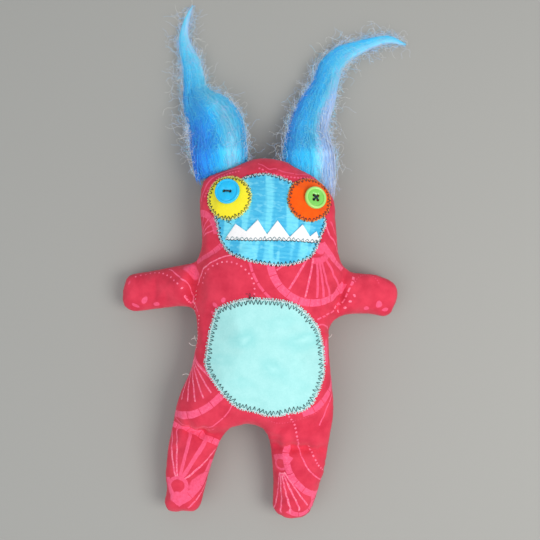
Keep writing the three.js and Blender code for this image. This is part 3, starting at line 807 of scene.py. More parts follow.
# The print, in millimetres and degrees on the flat cloth.
# Bands: centre, radius, from, to, width, blocks, gap between them as a share, strength of the ink
BANDS = (
    (35.5, 56.8, 31.5, -170, -28, 5.4, 9, 0.05, 1.0), (36.0, 68.0, 12.0, -100, -15, 4.5, 5, 0.06, 0.75),
    (-18.7, 21.6, 33.3, 98, 165, 1.0, 1, 0, 0.95), (34.7, 63.0, 46.1, -166, -126, 1.8, 4, 0.12, 0.9),
    (-89.9, 126.8, 86.9, -66, -46, 4.0, 5, 0.06, 0.8), (-89.3, 3.7, 40.6, 10, 68, 1.0, 3, 0.03, 0.85),
    (30.5, 50.7, 39.3, -74, -6, 1.3, 11, 0.3, 0.85), (82, 79, 63, -101, -77, 0.7, 9, 0.45, 0.6),
    (46, -11, 20, 50, 108, 1.1, 3, 0.06, 0.8), (14.2, -2.4, 58.4, -68, -16, 5.0, 6, 0.05, 0.95),
    (86.2, -69.6, 35.4, 116, 174, 1.0, 2, 0.04, 0.75), (27, 80.5, 130, -131, -112, 2.4, 2, 0.02, 0.9),
    (-66.1, -15.8, 53.9, -90, -24, 5.0, 6, 0.05, 1.0), (-43.6, -45.2, 30.6, -122, -12, 0.9, 4, 0.05, 0.75),
    (-43.6, -45.2, 33.8, -112, -62, 0.8, 9, 0.4, 0.6), (-70.9, -178, 100.1, 59, 87, 4.2, 5, 0.05, 1.0),
    (-51.4, -125.3, 6.4, -180, 179, 3.0, 1, 0, 0.9), (-2.5, -101.9, 60, -163, -142, 3.6, 1, 0, 0.95),
    (-86.3, -84.9, 63.8, -57, -17, 6.2, 4, 0.03, 0.95), (-97.2, -82.2, 80, -48, -31, 1.2, 3, 0.06, 0.85),
    (74.5, -78.2, 36.8, -180, -108, 1.0, 3, 0.03, 0.85), (63.3, -91.1, 33.1, 168, 262, 4.6, 7, 0.06, 1.0),
    (43.4, -128, 10.4, -140, 46, 4.2, 4, 0.05, 0.95), (27.7, -108.1, 13.4, 60, 128, 3.4, 3, 0.06, 0.9),
    (26.6, -100, 4.8, -180, 179, 1.8, 1, 0, 0.8), (-20, 88, 32.7, 92, 170, 1.2, 2, 0.03, 0.75),
    (-56.7, 65.9, 20.2, 10, 84, 5.0, 4, 0.05, 0.9), (84.6, 108.2, 48.8, -152, -116, 1.2, 3, 0.05, 0.8),
    (84.6, 108.2, 43.5, -152, -116, 0.9, 3, 0.05, 0.7), (12, 160, 42, -122, -50, 0.9, 4, 0.08, 0.6),
    (106.2, 117.9, 80, -143.5, -124, 4.6, 3, 0.03, 1.0),
)
# How much more strongly the dots and the lines up to this width are printed than the wide bands
FINE_INK, FINE_WIDTH = 1.35, 1.6
# Rows of dots: centre, radius, from, to, width of a dot, count, strength
DOTS = (
    (-25.1, 29.4, 20.4, -8, 175, 1.4, 17, 0.95), (-82.8, 9.6, 27.5, 36, 130, 1.4, 12, 0.9),
    (-51.1, 29.6, 11.6, -138, -90, 1.5, 5, 0.85), (80.6, 38.4, 11.5, 20, 160, 0.8, 12, 0.6),
    (34, 50.1, 40, -51.6, -20.8, 1.9, 4, 0.95), (-7.5, -88.1, 45.6, 12, 50, 1.5, 10, 0.9),
    (74.5, -78.2, 29, -170, -120, 1.5, 9, 0.9), (-20, 88, 29.3, 95, 165, 1.5, 16, 0.75),
    (12, 160, 45.5, -118, -56, 1.5, 20, 0.75), (20, -20, 44, -100, -35, 0.7, 26, 0.5),
)
# Ribs of the fans: centre, outer radius, from, to, radius of the hub, width of a rib, count, strength
RIBS = (
    (36.8, 70.5, 41.3, -89.1, -67.9, 12.5, 1.7, 3, 0.9), (36.8, 70.5, 38.6, -60, -52, 12.5, 1.6, 1, 0.9),
    (36.8, 70.5, 42, -102, -94, 12.5, 1.4, 1, 0.85), (36.8, 70.5, 40.5, -120, -112, 12.5, 1.5, 1, 0.85),
    (36.8, 70.5, 36.5, -143, -136, 22, 1.3, 1, 0.8), (-55.7, -21.7, 36, -94, -26, 5, 1.3, 6, 0.9),
    (-51.4, -125.3, 44, 72, 87, 7.5, 2.3, 1, 0.9), (-51.4, -125.3, 44, 57, 72, 7.5, 2.9, 1, 0.9),
    (-51.4, -125.3, 41, 41, 56, 7.5, 1.4, 1, 0.9), (-51.4, -125.3, 44, 90, 108, 7.5, 1.3, 2, 0.9),
    (26.6, -102, 37, -98, -48, 5.5, 1.2, 5, 0.9), (-56, 66, 18, 12, 78, 6, 1.0, 4, 0.8),
)
# Ovals: middle, half sizes, turn, strength
OVALS = (
    (-26.6, 22, 2.0, 1.6, 60, 0.95), (-32.9, 17.7, 2.3, 1.5, -40, 0.9), (-34.7, 11.3, 1.9, 1.1, -30, 0.8),
    (-56, 40.5, 7.6, 3.8, -42, 0.9), (-89.9, 15.9, 2.0, 2.9, -20, 0.95), (-96, 10.5, 2.9, 1.4, -30, 0.9),
    (-80.6, 13.5, 2.3, 1.8, 0, 0.9), (-103, 27, 0.8, 1.3, 0, 0.6), (81.8, 24.1, 2.2, 1.9, 10, 0.9),
    (91.5, 28, 2.0, 2.7, -15, 0.95), (96.5, 24.9, 2.6, 1.3, 24, 0.9), (54, -12, 2.6, 10, 6, 0.85),
    (-37.5, -121, 8.5, 3.6, 52, 0.75), (39.5, 66, 5.2, 3.8, -50, 0.95), (-51.4, -133.2, 5, 3.6, 0, 0.95),
)


# How far the edges of the print wander, and from one thread to the next, both in millimetres. The weave has
# about 3 threads a millimetre and is drawn at a third of that, to show at all
INK_WANDERS = 0.5
THREAD_PITCH = 0.9


def printed_cotton():
    """Plain-woven cotton with a wax-resist print: a mottled red ground, and ink in a lighter pink with soft,
    slightly uneven edges. The weave is matt, with a faint bloom of loose fibre."""
    cotton, tree, shader = new_material("printed_cotton")
    uv = put(tree, "UVMap", uv_map="pattern")
    flat = put(tree, "VectorMath", {0: uv, "Scale": 1 / MM}, operation="SCALE")
    unrest = put(tree, "TexNoise", {"Vector": flat, "Scale": 0.45, "Detail": 3})
    unrest = unrest.outputs["Color"]
    centred = put(tree, "VectorMath", (unrest, (0.5, 0.5, 0.5)), operation="SUBTRACT")
    place = put(tree, "VectorMath", (centred, (INK_WANDERS, INK_WANDERS, 0), flat), operation="MULTIPLY_ADD")
    groups = motif_groups()
    ink = None

    def stamp(kind, strength, x, y, sockets):
        nonlocal ink
        made = put(tree, "Group", {"Place": place, "Centre": (x, y, 0), **sockets}, node_tree=groups[kind])
        laid = put(tree, "Math", (made, strength), operation="MULTIPLY")
        ink = laid if ink is None else put(tree, "Math", (ink, laid), operation="MAXIMUM")

    def sector(radius, low, high, width):
        low, span = math.radians(low), math.radians(high - low)
        return {"Radius": radius, "From": low, "Span": span, "Half Width": width / 2}

    for x, y, radius, low, high, width, blocks, gap, strength in BANDS:
        ink_share = strength * (FINE_INK if width < FINE_WIDTH else 1)
        stamp("band", ink_share, x, y, {**sector(radius, low, high, width), "Blocks": blocks, "Gap": gap})
    for x, y, radius, low, high, width, count, strength in DOTS:
        stamp("dots", strength * FINE_INK, x, y, {**sector(radius, low, high, width), "Count": count})
    for x, y, radius, low, high, hub, width, count, strength in RIBS:
        ink_share = strength * (FINE_INK if width < FINE_WIDTH else 1)
        stamp("ribs", ink_share, x, y, {**sector(radius, low, high, width), "Hub": hub, "Count": count})
    for x, y, half_x, half_y, turn, strength in OVALS:
        half = (half_x, half_y, 1)
        stamp("oval", strength, x, y, {"Half": half, "Turn": math.radians(-turn), "Soft": OVAL_EDGE})

    mottle = put(tree, "TexNoise", {"Vector": flat, "Scale": 0.07, "Detail": 4, "Roughness": 0.6})
    cloudy = put(tree, "MapRange", {"Value": mottle, "From Min": 0.35, "From Max": 0.65})
    ground = put(tree, "Mix", {"Factor": cloudy, 6: look("#D02844"), 7: look("#E63A54")}, data_type="RGBA")
    worn = put(tree, "TexNoise", {"Vector": flat, "Scale": 0.5, "Detail": 4, "Roughness": 0.7})
    strength = put(tree, "MapRange", {
        "Value": worn, "From Min": 0.35, "From Max": 0.6, "To Min": 0.62, "To Max": 1.0,
    })
    inked = put(tree, "Math", (ink, strength), operation="MULTIPLY")
    printed = put(tree, "Mix", {"Factor": inked, 6: ground.outputs[2], 7: look("#FC5E86")}, data_type="RGBA")
    strong = put(tree, "MapRange", {"Value": inked, "From Min": 0.95, "From Max": 1.5})
    colours = put(tree, "Mix", {
        "Factor": strong, 6: printed.outputs[2], 7: look("#FFB4C0"),
    }, data_type="RGBA")
    weave = put(tree, "VectorMath", {0: flat, "Scale": 2 * math.pi / THREAD_PITCH}, operation="SCALE")
    waves = put(tree, "VectorMath", (weave,), operation="SINE")
    split = put(tree, "SeparateXYZ", (waves,))
    woven = put(tree, "Math", (split.outputs[0], split.outputs[1]), operation="MULTIPLY")
    slub = put(tree, "TexNoise", {"Vector": flat, "Scale": 1.3, "Detail": 3})
    height = put(tree, "Math", (woven, 0.25, slub), operation="MULTIPLY_ADD")
    bump = put(tree, "Bump", {"Height": height, "Strength": 0.35, "Distance": 0.0002})
    feed(tree, shader, {
        "Base Color": colours.outputs[2], "Normal": bump, "Roughness": 0.78, "Specular IOR Level": 0.25,
        "Sheen Weight": 0.12, "Sheen Roughness": 0.5,
    })
    return cotton


def surface_of(*objects):
    """A function that gives the height and normal of the highest of these objects at a place in the plan."""
    depsgraph = bpy.context.evaluated_depsgraph_get()
    trees = [BVHTree.FromObject(o, depsgraph) for o in objects]

    def at(x, y):
        hits = [tree.ray_cast(Vector((x, y, 0.2)), -UP) for tree in trees]
        hits = [hit for hit in hits if hit[0] is not None]
        if not hits:
            return SEAM_LEVEL, UP
        best = max(hits, key=lambda hit: hit[0].z)
        return best[0].z, best[1]

    return at


def circle_loop(middle, radius, step=1.0, wobble=0.0):
    """A closed loop round a point, cut by hand, so that it wobbles a little. All in millimetres."""
    count = int(2 * math.pi * radius / step)
    turn = np.linspace(0, 2 * math.pi, count, endpoint=False)
    waves = np.sin(3 * turn + 1) + 0.6 * np.sin(5 * turn + 2.2) + 0.4 * np.sin(8 * turn)
    size = radius * (1 + wobble * waves)
    return np.column_stack([middle[0] + size * np.cos(turn), middle[1] + size * np.sin(turn)])


def straight_loop(points, step):
    """A closed loop of straight cuts, with a point every step."""
    closed = np.array([*points, points[0]], float)
    travel = travelled(closed)
    even = np.unique(np.concatenate([np.arange(0, travel[-1], step), travel[:-1]]))
    return between(even, travel, closed)


# The gap that laid pieces keep to what is under them, how far in from its edge a piece is pressed down by its
# stitches, and how far in its cut edge is frayed, all in metres
LAID_CLEAR = 0.00015
PRESSED_IN, FRAYED_IN = 0.0016, 0.001
# How many of the loop's points lie between two stitches that press down the edge
STITCH_POINTS = 1.7


def sewn_patch(name, loop, cell, thickness, under, material, hold_down=0.5, corners=()):
    """A flat piece laid over what is under it, its edge pressed down by its stitches. The loop and its sharp
    corners are in millimetres."""
    loop = loop * MM
    patch = cut_panel(loop, cell, np.array(corners).reshape(-1, 2) * MM)
    at = surface_of(*under)
    heights = np.array([at(*v.co[:2])[0] for v in patch.verts])
    depth, _ = depth_inside(np.array([v.co[:2] for v in patch.verts]), loop)
    patch.verts.index_update()
    beside = [[e.other_vert(v).index for e in v.link_edges] for v in patch.verts]
    for _ in range(6):
        bridged = [0.5 * h + 0.5 * heights[near].mean() for h, near in zip(heights, beside)]
        heights = np.maximum(heights, bridged)
    uv = patch.loops.layers.uv.new("pattern")
    for face in patch.faces:
        for corner in face.loops:
            corner[uv].uv = corner.vert.co[:2]
    middle = loop.mean(0)
    angle = np.array([math.atan2(v.co.y - middle[1], v.co.x - middle[0]) for v in patch.verts])
    ripple = np.cos(angle * round(len(loop) / STITCH_POINTS))
    pressed = np.exp(-np.maximum(depth, 0) / PRESSED_IN)
    for vertex, height, press, wave in zip(patch.verts, heights, pressed, ripple):
        vertex.co.z = height + LAID_CLEAR + thickness * (1 - hold_down * press * (0.8 + 0.2 * wave))
    edge = patch.verts.layers.float.new("edge")
    for vertex, inside in zip(patch.verts, depth):
        vertex[edge] = math.exp(-max(inside, 0) / FRAYED_IN)
    area = sum(f.calc_area() for f in patch.faces)
    bmesh.ops.solidify(patch, geom=patch.faces[:], thickness=thickness)
    bmesh.ops.recalc_face_normals(patch, faces=patch.faces)
    made = finished(name, patch, material)
    return made


def spun(profile, sides):
    """A closed solid of revolution from [radius, height] pairs."""
    made = bmesh.new()
    verts = [made.verts.new((r, 0, z)) for r, z in profile]
    edges = [made.edges.new(pair) for pair in zip(verts, verts[1:])]
    if profile[0][0] > 0:
        edges.append(made.edges.new((verts[-1], verts[0])))
    bmesh.ops.spin(
        made, geom=verts + edges, cent=(0, 0, 0), axis=UP, angle=2 * math.pi, steps=sides, use_merge=True,
    )
    bmesh.ops.remove_doubles(made, verts=made.verts, dist=1e-7)
    bmesh.ops.recalc_face_normals(made, faces=made.faces)
    return made


def drilled_plate(radius, low, high, holes, hole_radius):
    """A round plate with holes right through it."""
    made = bmesh.new()
    bmesh.ops.create_circle(made, radius=radius, segments=48)
    for x, y in holes:
        bmesh.ops.create_circle(made, radius=hole_radius, segments=14, matrix=Matrix.Translation((x, y, 0)))
    bmesh.ops.triangle_fill(made, edges=made.edges[:], use_beauty=True)
    bmesh.ops.translate(made, vec=(0, 0, low), verts=made.verts)
    risen = bmesh.ops.extrude_face_region(made, geom=made.faces[:])
    raised = [g for g in risen["geom"] if isinstance(g, bmesh.types.BMVert)]
    bmesh.ops.translate(made, vec=(0, 0, high - low), verts=raised)
    bmesh.ops.recalc_face_normals(made, faces=made.faces)
    return made


# A button's thickness, how high the underside of its middle lies, the radius of its holes and the rounding of
# its edges, all in metres
BUTTON_THICK, BUTTON_HOLLOW, HOLE_RADIUS, EDGE_ROUNDING = 0.0030, 0.0003, 0.0011, 0.00015
# From the top of the rim into the dish: how far in, as a share of half the rim's width, and how far down, as
# a share of the dish's depth
DISH_CURVE = ((0.49, 0.04), (1.12, 0.35), (1.4, 1))


def button_piece(name, radius, holes, seat, material, rim, dish):
    """A moulded sewing button: a rounded rim round a dished middle with its thread holes. The rim's width and
    the dish's depth are in metres."""
    thick = BUTTON_THICK
    rounding = [(math.cos(t), math.sin(t)) for t in np.linspace(-math.pi / 2, math.pi / 2, 9)]
    bead = rim / 2
    outer = radius - bead
    profile = [(outer + bead * c, thick / 2 + thick / 2 * s) for c, s in rounding]
    profile += [(outer - bead * way_in, thick - dish * down) for way_in, down in DISH_CURVE]
    profile.append((outer - bead, 0))
    made = spun(profile, 64)
    # Marks the rim, which the button's material paints lighter as a painted highlight
    edge = made.verts.layers.float.new("rim")
    for vertex in made.verts:
        vertex[edge] = 1.0 if vertex.co.xy.length > outer - bead * 1.2 else 0.0
    plate = drilled_plate(outer, BUTTON_HOLLOW, thick - dish, holes, HOLE_RADIUS)
    mesh = bpy.data.meshes.new("plate")
    plate.to_mesh(mesh)
    plate.free()
    made.from_mesh(mesh)
    bpy.data.meshes.remove(mesh)
    made.transform(seat)
    result = finished(name, made, material)
    result.modifiers.new("Edges", "BEVEL").width = EDGE_ROUNDING
    return result


def threads(name, paths, radii, material, sides=0, caps=True):
    """Thin round threads along paths, each a list of points in metres."""
    curve = bpy.data.curves.new(name, "CURVE")
    curve.dimensions = "3D"
    curve.bevel_depth = 1.0
    curve.bevel_resolution = sides
    curve.use_fill_caps = caps
    for path, radius in zip(paths, radii):
        path = np.asarray(path, float)
        spline = curve.splines.new("POLY")
        spline.points.add(len(path) - 1)
        spline.points.foreach_set("co", np.column_stack([path, np.ones(len(path))]).ravel())
        sizes = np.full(len(path), radius) if np.isscalar(radius) else radius
        spline.points.foreach_set("radius", sizes)
    shell = bpy.data.objects.new(name + "_curve", curve)
    bpy.context.scene.collection.objects.link(shell)
    mesh = bpy.data.meshes.new_from_object(shell.evaluated_get(bpy.context.evaluated_depsgraph_get()))
    mesh.name = name
    bpy.data.objects.remove(shell)
    mesh.materials.clear()
    mesh.materials.append(material)
    for polygon in mesh.polygons:
        polygon.use_smooth = True
    result = bpy.data.objects.new(name, mesh)
    bpy.context.scene.collection.objects.link(result)
    return result


# Places round the middle of a stiff piece, in metres, at which the slope under it is felt
SEAT_PROBES = [(r * math.cos(a), r * math.sin(a)) for r in (0.004, 0.008) for a in np.linspace(0, 5.2, 6)]


def seat_on(at, place, lift, upright):
    """A matrix that seats a stiff piece on a soft surface at a place in the plan: square to the surface, but
    turned towards level by the share upright, because its middle is drawn in."""
    spots = [at(place[0] + dx, place[1] + dy) for dx, dy in SEAT_PROBES]
    normal = sum((n for _, n in spots), Vector()).normalized().lerp(UP, upright).normalized()
    height = at(*place)[0]
    turn = UP.rotation_difference(normal).to_matrix().to_4x4()
    return Matrix.Translation(Vector((*place, height)) + normal * lift) @ turn


# Outlines of the felt and fleece pieces in millimetres
FACE = [
    (-4, 111.2), (-13, 109.6), (-20, 106.8), (-36, 96), (-37.2, 78), (-35.4, 74), (-32.6, 64), (-26.5, 55.5),
    (-18, 51.6), (-9, 49.5), (0, 48.7), (9.5, 48.4), (19, 49.8), (27, 53.1), (33.4, 57.8), (37.2, 67.4),
    (39.3, 75), (40.4, 82), (33, 98), (14, 107), (4, 110.2),
]
BELLY = [
    (-35.1, -26.1), (-31.5, -32.9), (-26.7, -38.2), (-21.9, -43.4), (-14.8, -49.8), (-7.2, -54.4),
    (3.7, -55.9), (10.3, -57.4), (18.2, -57.1), (28.6, -53.8), (34.3, -52.7), (41.1, -48), (44.8, -40.6),
    (48.8, -28.1), (48.2, -16.6), (47.2, -9.5), (45.1, -2.4), (40.6, 8), (29.5, 18.7), (22, 22.4),
    (11.1, 23.6), (-3.9, 23.3), (-13.8, 21.4), (-22.9, 17.7), (-29.8, 13.4), (-32, 6), (-34.1, -3.6),
    (-34.8, -16.7),
]
# The teeth: their tips and the notches between them, along the gum line
TEETH = [
    (-28.4, 63), (-27.6, 65.2), (-22.1, 74.2), (-14.2, 69.6), (-6.9, 78.3), (0.3, 68.8), (6.8, 79),
    (16.2, 68.4), (24.4, 77.9), (30.4, 70.2), (34.7, 74.3), (37.4, 69.2), (36.8, 66.4), (22, 66.1), (4, 65.1),
    (-12, 63.6),
]


def felt(name, colour, darker, edge, pattern=None):
    """Pressed wool felt: matt, with tangled fibres that show as fine mottling, paler where the cut edge is
    frayed by the stitches. Its fibres are drawn about twice as coarse as they are."""
    material, tree, shader = new_material(name)
    place = put(tree, "TexCoord").outputs["Object"]
    tangle = put(tree, "TexNoise", {"Vector": place, "Scale": 900, "Detail": 5, "Roughness": 0.65})
    patchy = put(tree, "TexNoise", {"Vector": place, "Scale": 160, "Detail": 3})
    blend = put(tree, "Math", (tangle, patchy), operation="ADD")
    share = put(tree, "MapRange", {"Value": blend, "From Min": 0.75, "From Max": 1.3})
    ground = put(tree, "Mix", {"Factor": share, 6: look(darker), 7: look(colour)}, data_type="RGBA")
    ground = ground.outputs[2]
    if pattern:
        ground = pattern(tree, ground)
    rim = put(tree, "Attribute", attribute_name="edge").outputs["Fac"]
    frayed = put(tree, "Math", (rim, tangle, -0.22), operation="MULTIPLY_ADD")
    pale = put(tree, "MapRange", {"Value": frayed, "From Min": 0.0, "From Max": 0.24})
    colours = put(tree, "Mix", {"Factor": pale, 6: ground, 7: look(edge)}, data_type="RGBA")
    bump = put(tree, "Bump", {"Height": tangle, "Strength": 0.5, "Distance": 0.0004})
    feed(tree, shader, {
        "Base Color": colours.outputs[2], "Normal": bump, "Roughness": 0.95, "Sheen Weight": 0.2,
        "Specular IOR Level": 0.2,
    })
    return material


# From one rung of the face's dye to the next, in metres, and how far in radians the rungs run unevenly
RUNG_PITCH, RUNG_UNEVEN = 0.0029, 2.5
# How many stripes, and how many dashes, there are to a metre of the face's felt, across it and up it
STRIPES_EACH_WAY, DASHES_EACH_WAY = (125, 17, 1), (210, 400, 1)


def brushed_stripes(tree, ground):
    """Uneven upright stripes, lighter and darker, crossed by soft rungs, as if dyed with a brush."""
    uv = put(tree, "UVMap", uv_map="pattern")
    drawn_out = put(tree, "VectorMath", (uv, STRIPES_EACH_WAY), operation="MULTIPLY")
    stripes = put(tree, "TexNoise", {"Vector": drawn_out, "Scale": 1.0, "Detail": 1, "Distortion": 0.3})
    light = put(tree, "MapRange", {"Value": stripes, "From Min": 0.45, "From Max": 0.54, "To Max": 0.95})
    lit = put(tree, "Mix", {"Factor": light, 6: ground, 7: look("#78DEF4")}, data_type="RGBA")
    short = put(tree, "VectorMath", (uv, DASHES_EACH_WAY), operation="MULTIPLY")
    dashes = put(tree, "TexNoise", {"Vector": short, "Scale": 1.0, "Detail": 1, "Distortion": 0.6})
    split = put(tree, "SeparateXYZ", (uv,))
    uneven = put(tree, "Math", (dashes, RUNG_UNEVEN), operation="MULTIPLY")
    climb = put(tree, "Math", (split.outputs[1], 2 * math.pi / RUNG_PITCH, uneven), operation="MULTIPLY_ADD")
    wave = put(tree, "Math", (climb,), operation="SINE")
    ladder = put(tree, "MapRange", {"Value": wave, "From Min": -0.1, "From Max": 0.7})
    patchy = put(tree, "MapRange", {"Value": dashes, "From Min": 0.38, "From Max": 0.58, "To Max": 0.5})
    shaded = put(tree, "Math", (light, -0.55, 1.0), operation="MULTIPLY_ADD")
    marks = put(tree, "Math", (ladder, patchy), operation="MULTIPLY")
    dark = put(tree, "Math", (marks, shaded), operation="MULTIPLY")
    rungs = put(tree, "Mix", {"Factor": dark, 6: lit.outputs[2], 7: look("#36A6D6")}, data_type="RGBA")
    pale = put(tree, "MapRange", {"Value": dashes, "From Min": 0.46, "From Max": 0.34, "To Max": 0.3})
    return put(tree, "Mix", {
        "Factor": pale, 6: rungs.outputs[2], 7: look("#9CEBFA"),
    }, data_type="RGBA").outputs[2]


# Faint darker swirls on the belly's fleece, in millimetres: middle, half sizes, turn, strength
SWIRLS = (
    (-9.3, -5, 8, 7.5, 20, 0.5), (13.3, -23.9, 8, 8, -30, 0.42), (33, -2.7, 12, 8, 10, 0.5),
    (-23.3, -20.9, 7, 6, 0, 0.3), (14.6, 9, 8, 6, 15, 0.22), (-7.4, -35, 6, 4, 0, 0.25),
    (31, -33, 8, 5, -20, 0.15),
)
# How far the swirls wander, in millimetres
SWIRL_WANDERS = 9


# Lays darker swirls with paler middles into the fleece's colour
def swirl_marks(tree, ground):
    """Faint darker swirls, with a paler comma in the middle of each."""
    uv = put(tree, "UVMap", uv_map="pattern")
    flat = put(tree, "VectorMath", {0: uv, "Scale": 1 / MM}, operation="SCALE")
    unrest = put(tree, "TexNoise", {"Vector": flat, "Scale": 0.12, "Detail": 3})
    unrest = unrest.outputs["Color"]
    place = put(tree, "VectorMath", (unrest, (SWIRL_WANDERS, SWIRL_WANDERS, 0), flat), operation="MULTIPLY_ADD")
    oval = bpy.data.node_groups["printed_oval"]
    for x, y, half_x, half_y, turn, strength in SWIRLS:
        for share, hue in ((1.0, "#78D2D2"), (0.42, "#C8F8F4")):
            spot = put(tree, "Group", {
                "Place": place, "Centre": (x + SWIRL_WANDERS / 2, y + SWIRL_WANDERS / 2, 0),
                "Half": (half_x * share, half_y * share * 0.6, 1), "Turn": math.radians(-turn), "Soft": 0.8,
            }, node_tree=oval)
            dyed = put(tree, "Math", (spot, strength), operation="MULTIPLY")
            ground = put(tree, "Mix", {"Factor": dyed, 6: ground, 7: look(hue)}, data_type="RGBA")
            ground = ground.outputs[2]
    return ground


def button_plastic(name, colour, swirl_colour, rim_highlight_colour):
    """Cast polyester: glossy, its colour slightly swirled, with a painted highlight that makes it lighter
    along the rim.
    """
    material, tree, shader = new_material(name)
    place = put(tree, "TexCoord").outputs["Object"]
    swirl = put(tree, "TexNoise", {"Vector": place, "Scale": 120, "Detail": 2, "Distortion": 1.5})
    share = put(tree, "MapRange", {"Value": swirl, "From Min": 0.5, "From Max": 0.7})
    colours = put(tree, "Mix", {"Factor": share, 6: look(colour), 7: look(swirl_colour)}, data_type="RGBA")
    # The rim's colour is a painted highlight: it is made lighter where the raised rim catches the light
    rim = put(tree, "Attribute", attribute_name="rim").outputs["Fac"]
    rim_highlighted = put(tree, "Mix", {"Factor": rim, 6: colours.outputs[2], 7: look(rim_highlight_colour)}, data_type="RGBA")
    feed(tree, shader, {"Base Color": rim_highlighted.outputs[2], "Roughness": 0.22, "Coat Weight": 0.3})
    return material


def cotton_thread(name, colour, lighter):
    """Mercerised sewing thread: twisted strands with a slight shine."""
    material, tree, shader = new_material(name)
    place = put(tree, "TexCoord").outputs["Object"]
    strands = put(tree, "TexNoise", {"Vector": place, "Scale": 1500, "Detail": 2})
    share = put(tree, "MapRange", {"Value": strands, "From Min": 0.5, "From Max": 0.8})
    colours = put(tree, "Mix", {"Factor": share, 6: look(colour), 7: look(lighter)}, data_type="RGBA")
    feed(tree, shader, {"Base Color": colours.outputs[2], "Roughness": 0.6})
    return material


class PlushPatchSettings(bpy.types.PropertyGroup):
    felt: FloatProperty(
        name="Felt", description="Thickness of the felt of the face, eyes and teeth",
        default=0.0011, unit="LENGTH",
    )
    fleece: FloatProperty(
        name="Fleece", description="Thickness of the belly's fleece", default=0.0014, unit="LENGTH",
    )
    cell: FloatProperty(
        name="Patch Mesh", description="Width of the patches' mesh", default=0.0014, unit="LENGTH",
    )


class PLUSH_OT_patches(bpy.types.Operator):
    """Sews the felt face and the fleece belly onto the body"""

    bl_idname = "plush.patches"
    bl_label = "Face and Belly"

    def execute(self, context):
        settings = context.scene.plush_patches
        skin = bpy.data.objects["body_skin"]
        face_felt = felt("brushed_blue_felt", "#52C2E8", "#46B6E0", "#E4FCFF", pattern=brushed_stripes)
        fleece = felt("aqua_fleece", "#B2EAE7", "#A5E2DF", "#FFFFFF", pattern=swirl_marks)
        cell = settings.cell
        face = sewn_patch("face_felt", smooth_loop(FACE, 1.0), cell, settings.felt, [skin], face_felt)
        belly = sewn_patch("belly_fleece", smooth_loop(BELLY, 1.0), cell, settings.fleece, [skin], fleece)
        for made, node, slot in ((face, "face_patch", "blue_felt"), (belly, "belly_patch", "aqua_fleece")):
            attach(made, "body")
            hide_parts(node)
        return {"FINISHED"}


def middle_of(node):
    """The middle of a CAD node's box in the plan, in metres."""
    low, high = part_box(node)
    return (low.x + high.x) / 2, (low.y + high.y) / 2


def eye_circle(disc):
    """Middle and radius of an eye's felt disc, in millimetres."""
    low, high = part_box(disc + "_eye_patch")
    return np.array(middle_of(disc + "_eye_patch")) / MM, (high.y - low.y) / 2 / MM


class PlushEyeSettings(bpy.types.PropertyGroup):
    blue_radius: FloatProperty(
        name="Blue Button", description="Radius of the button with two holes", default=0.009, unit="LENGTH",
    )
    green_radius: FloatProperty(
        name="Green Button", description="Radius of the button with four holes", default=0.008, unit="LENGTH",
    )
    upright: FloatProperty(
        name="Level", description="How far the buttons lie level and not square to the cloth",
        default=0.35, min=0, max=1,
    )


# The width of each button's rim and the depth of its dish in metres, and how far it lies from the solid's
# middle in the plan, in millimetres
BUTTONS = {"blue": (0.0016, 0.0006, (1.6, -1.2)), "green": (0.0018, 0.0009, (-2.2, -2.1))}
# How far the holes lie from a button's middle, in metres: two to its sides, or four at these places each way
TWO_HOLES, FOUR_HOLES = 0.0023, (-0.0015, 0.0015)
# How unevenly the eye discs are cut, as a share of their radius, and the width of their mesh in metres
EYE_WOBBLE, EYE_CELL = 0.008, 0.0012


class PLUSH_OT_eyes(bpy.types.Operator):
    """Makes the felt eye discs and sews a button on each"""

    bl_idname = "plush.eyes"
    bl_label = "Eyes"

    def execute(self, context):
        settings = context.scene.plush_eyes
        thickness = context.scene.plush_patches.felt
        under = [bpy.data.objects["body_skin"], bpy.data.objects["face_felt"]]
        yellow = felt("yellow_felt", "#FFF238", "#FFE928", "#FFFCB0")
        orange = felt("orange_felt", "#FF6204", "#F85600", "#FF8838")
        thread = cotton_thread("navy_thread", "#0C2630", "#2E5662")
        # The last colour of each button is the painted highlight on its rim
        blue = button_plastic("blue_polyester", "#00BFF4", "#12C8FA", "#04C2F6")
        green = button_plastic("green_polyester", "#82D65C", "#90DE6C", "#AAE878")
        eyes = (
            ("yellow", "blue", yellow, blue, [(-TWO_HOLES, 0), (TWO_HOLES, 0)]),
            ("orange", "green", orange, green, [(x, y) for x in FOUR_HOLES for y in FOUR_HOLES]),
        )
        for disc, button, disc_felt, plastic, holes in eyes:
            loop = circle_loop(*eye_circle(disc), 0.8, wobble=EYE_WOBBLE)
            patch = sewn_patch(disc + "_eye_felt", loop, EYE_CELL, thickness, under, disc_felt)
            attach(patch, "body")
            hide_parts(disc + "_eye_patch")
            node = button + "_button"
            at = surface_of(patch)
            radius = settings.blue_radius if button == "blue" else settings.green_radius
            rim, dish, shift = BUTTONS[button]
            seat = seat_on(at, np.array(middle_of(node)) + np.array(shift) * MM, LAID_CLEAR, settings.upright)
            made = button_piece(button + "_button_turned", radius, holes, seat, plastic, rim, dish)
            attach(made, "body")
            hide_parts(node)
            stitched = threads(button + "_button_stitches", *button_stitches(holes, seat), thread, sides=1)
            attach(stitched, "body")
            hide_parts(node + "_thread")
        return {"FINISHED"}


# A stitch over a button: [share of the way from hole to hole, height in millimetres]
STITCH_RISE = ((0, 0.2), (0.02, 1.7), (0.1, 2.5), (0.5, 2.75), (0.9, 2.5), (0.98, 1.7), (1, 0.2))
# From one strand to the next, how much higher a crossing stitch lies, and a strand's radius, all in metres
STRAND_PITCH, CROSSING_RISE, STRAND_RADIUS = 0.0004, 0.0003, 0.00025


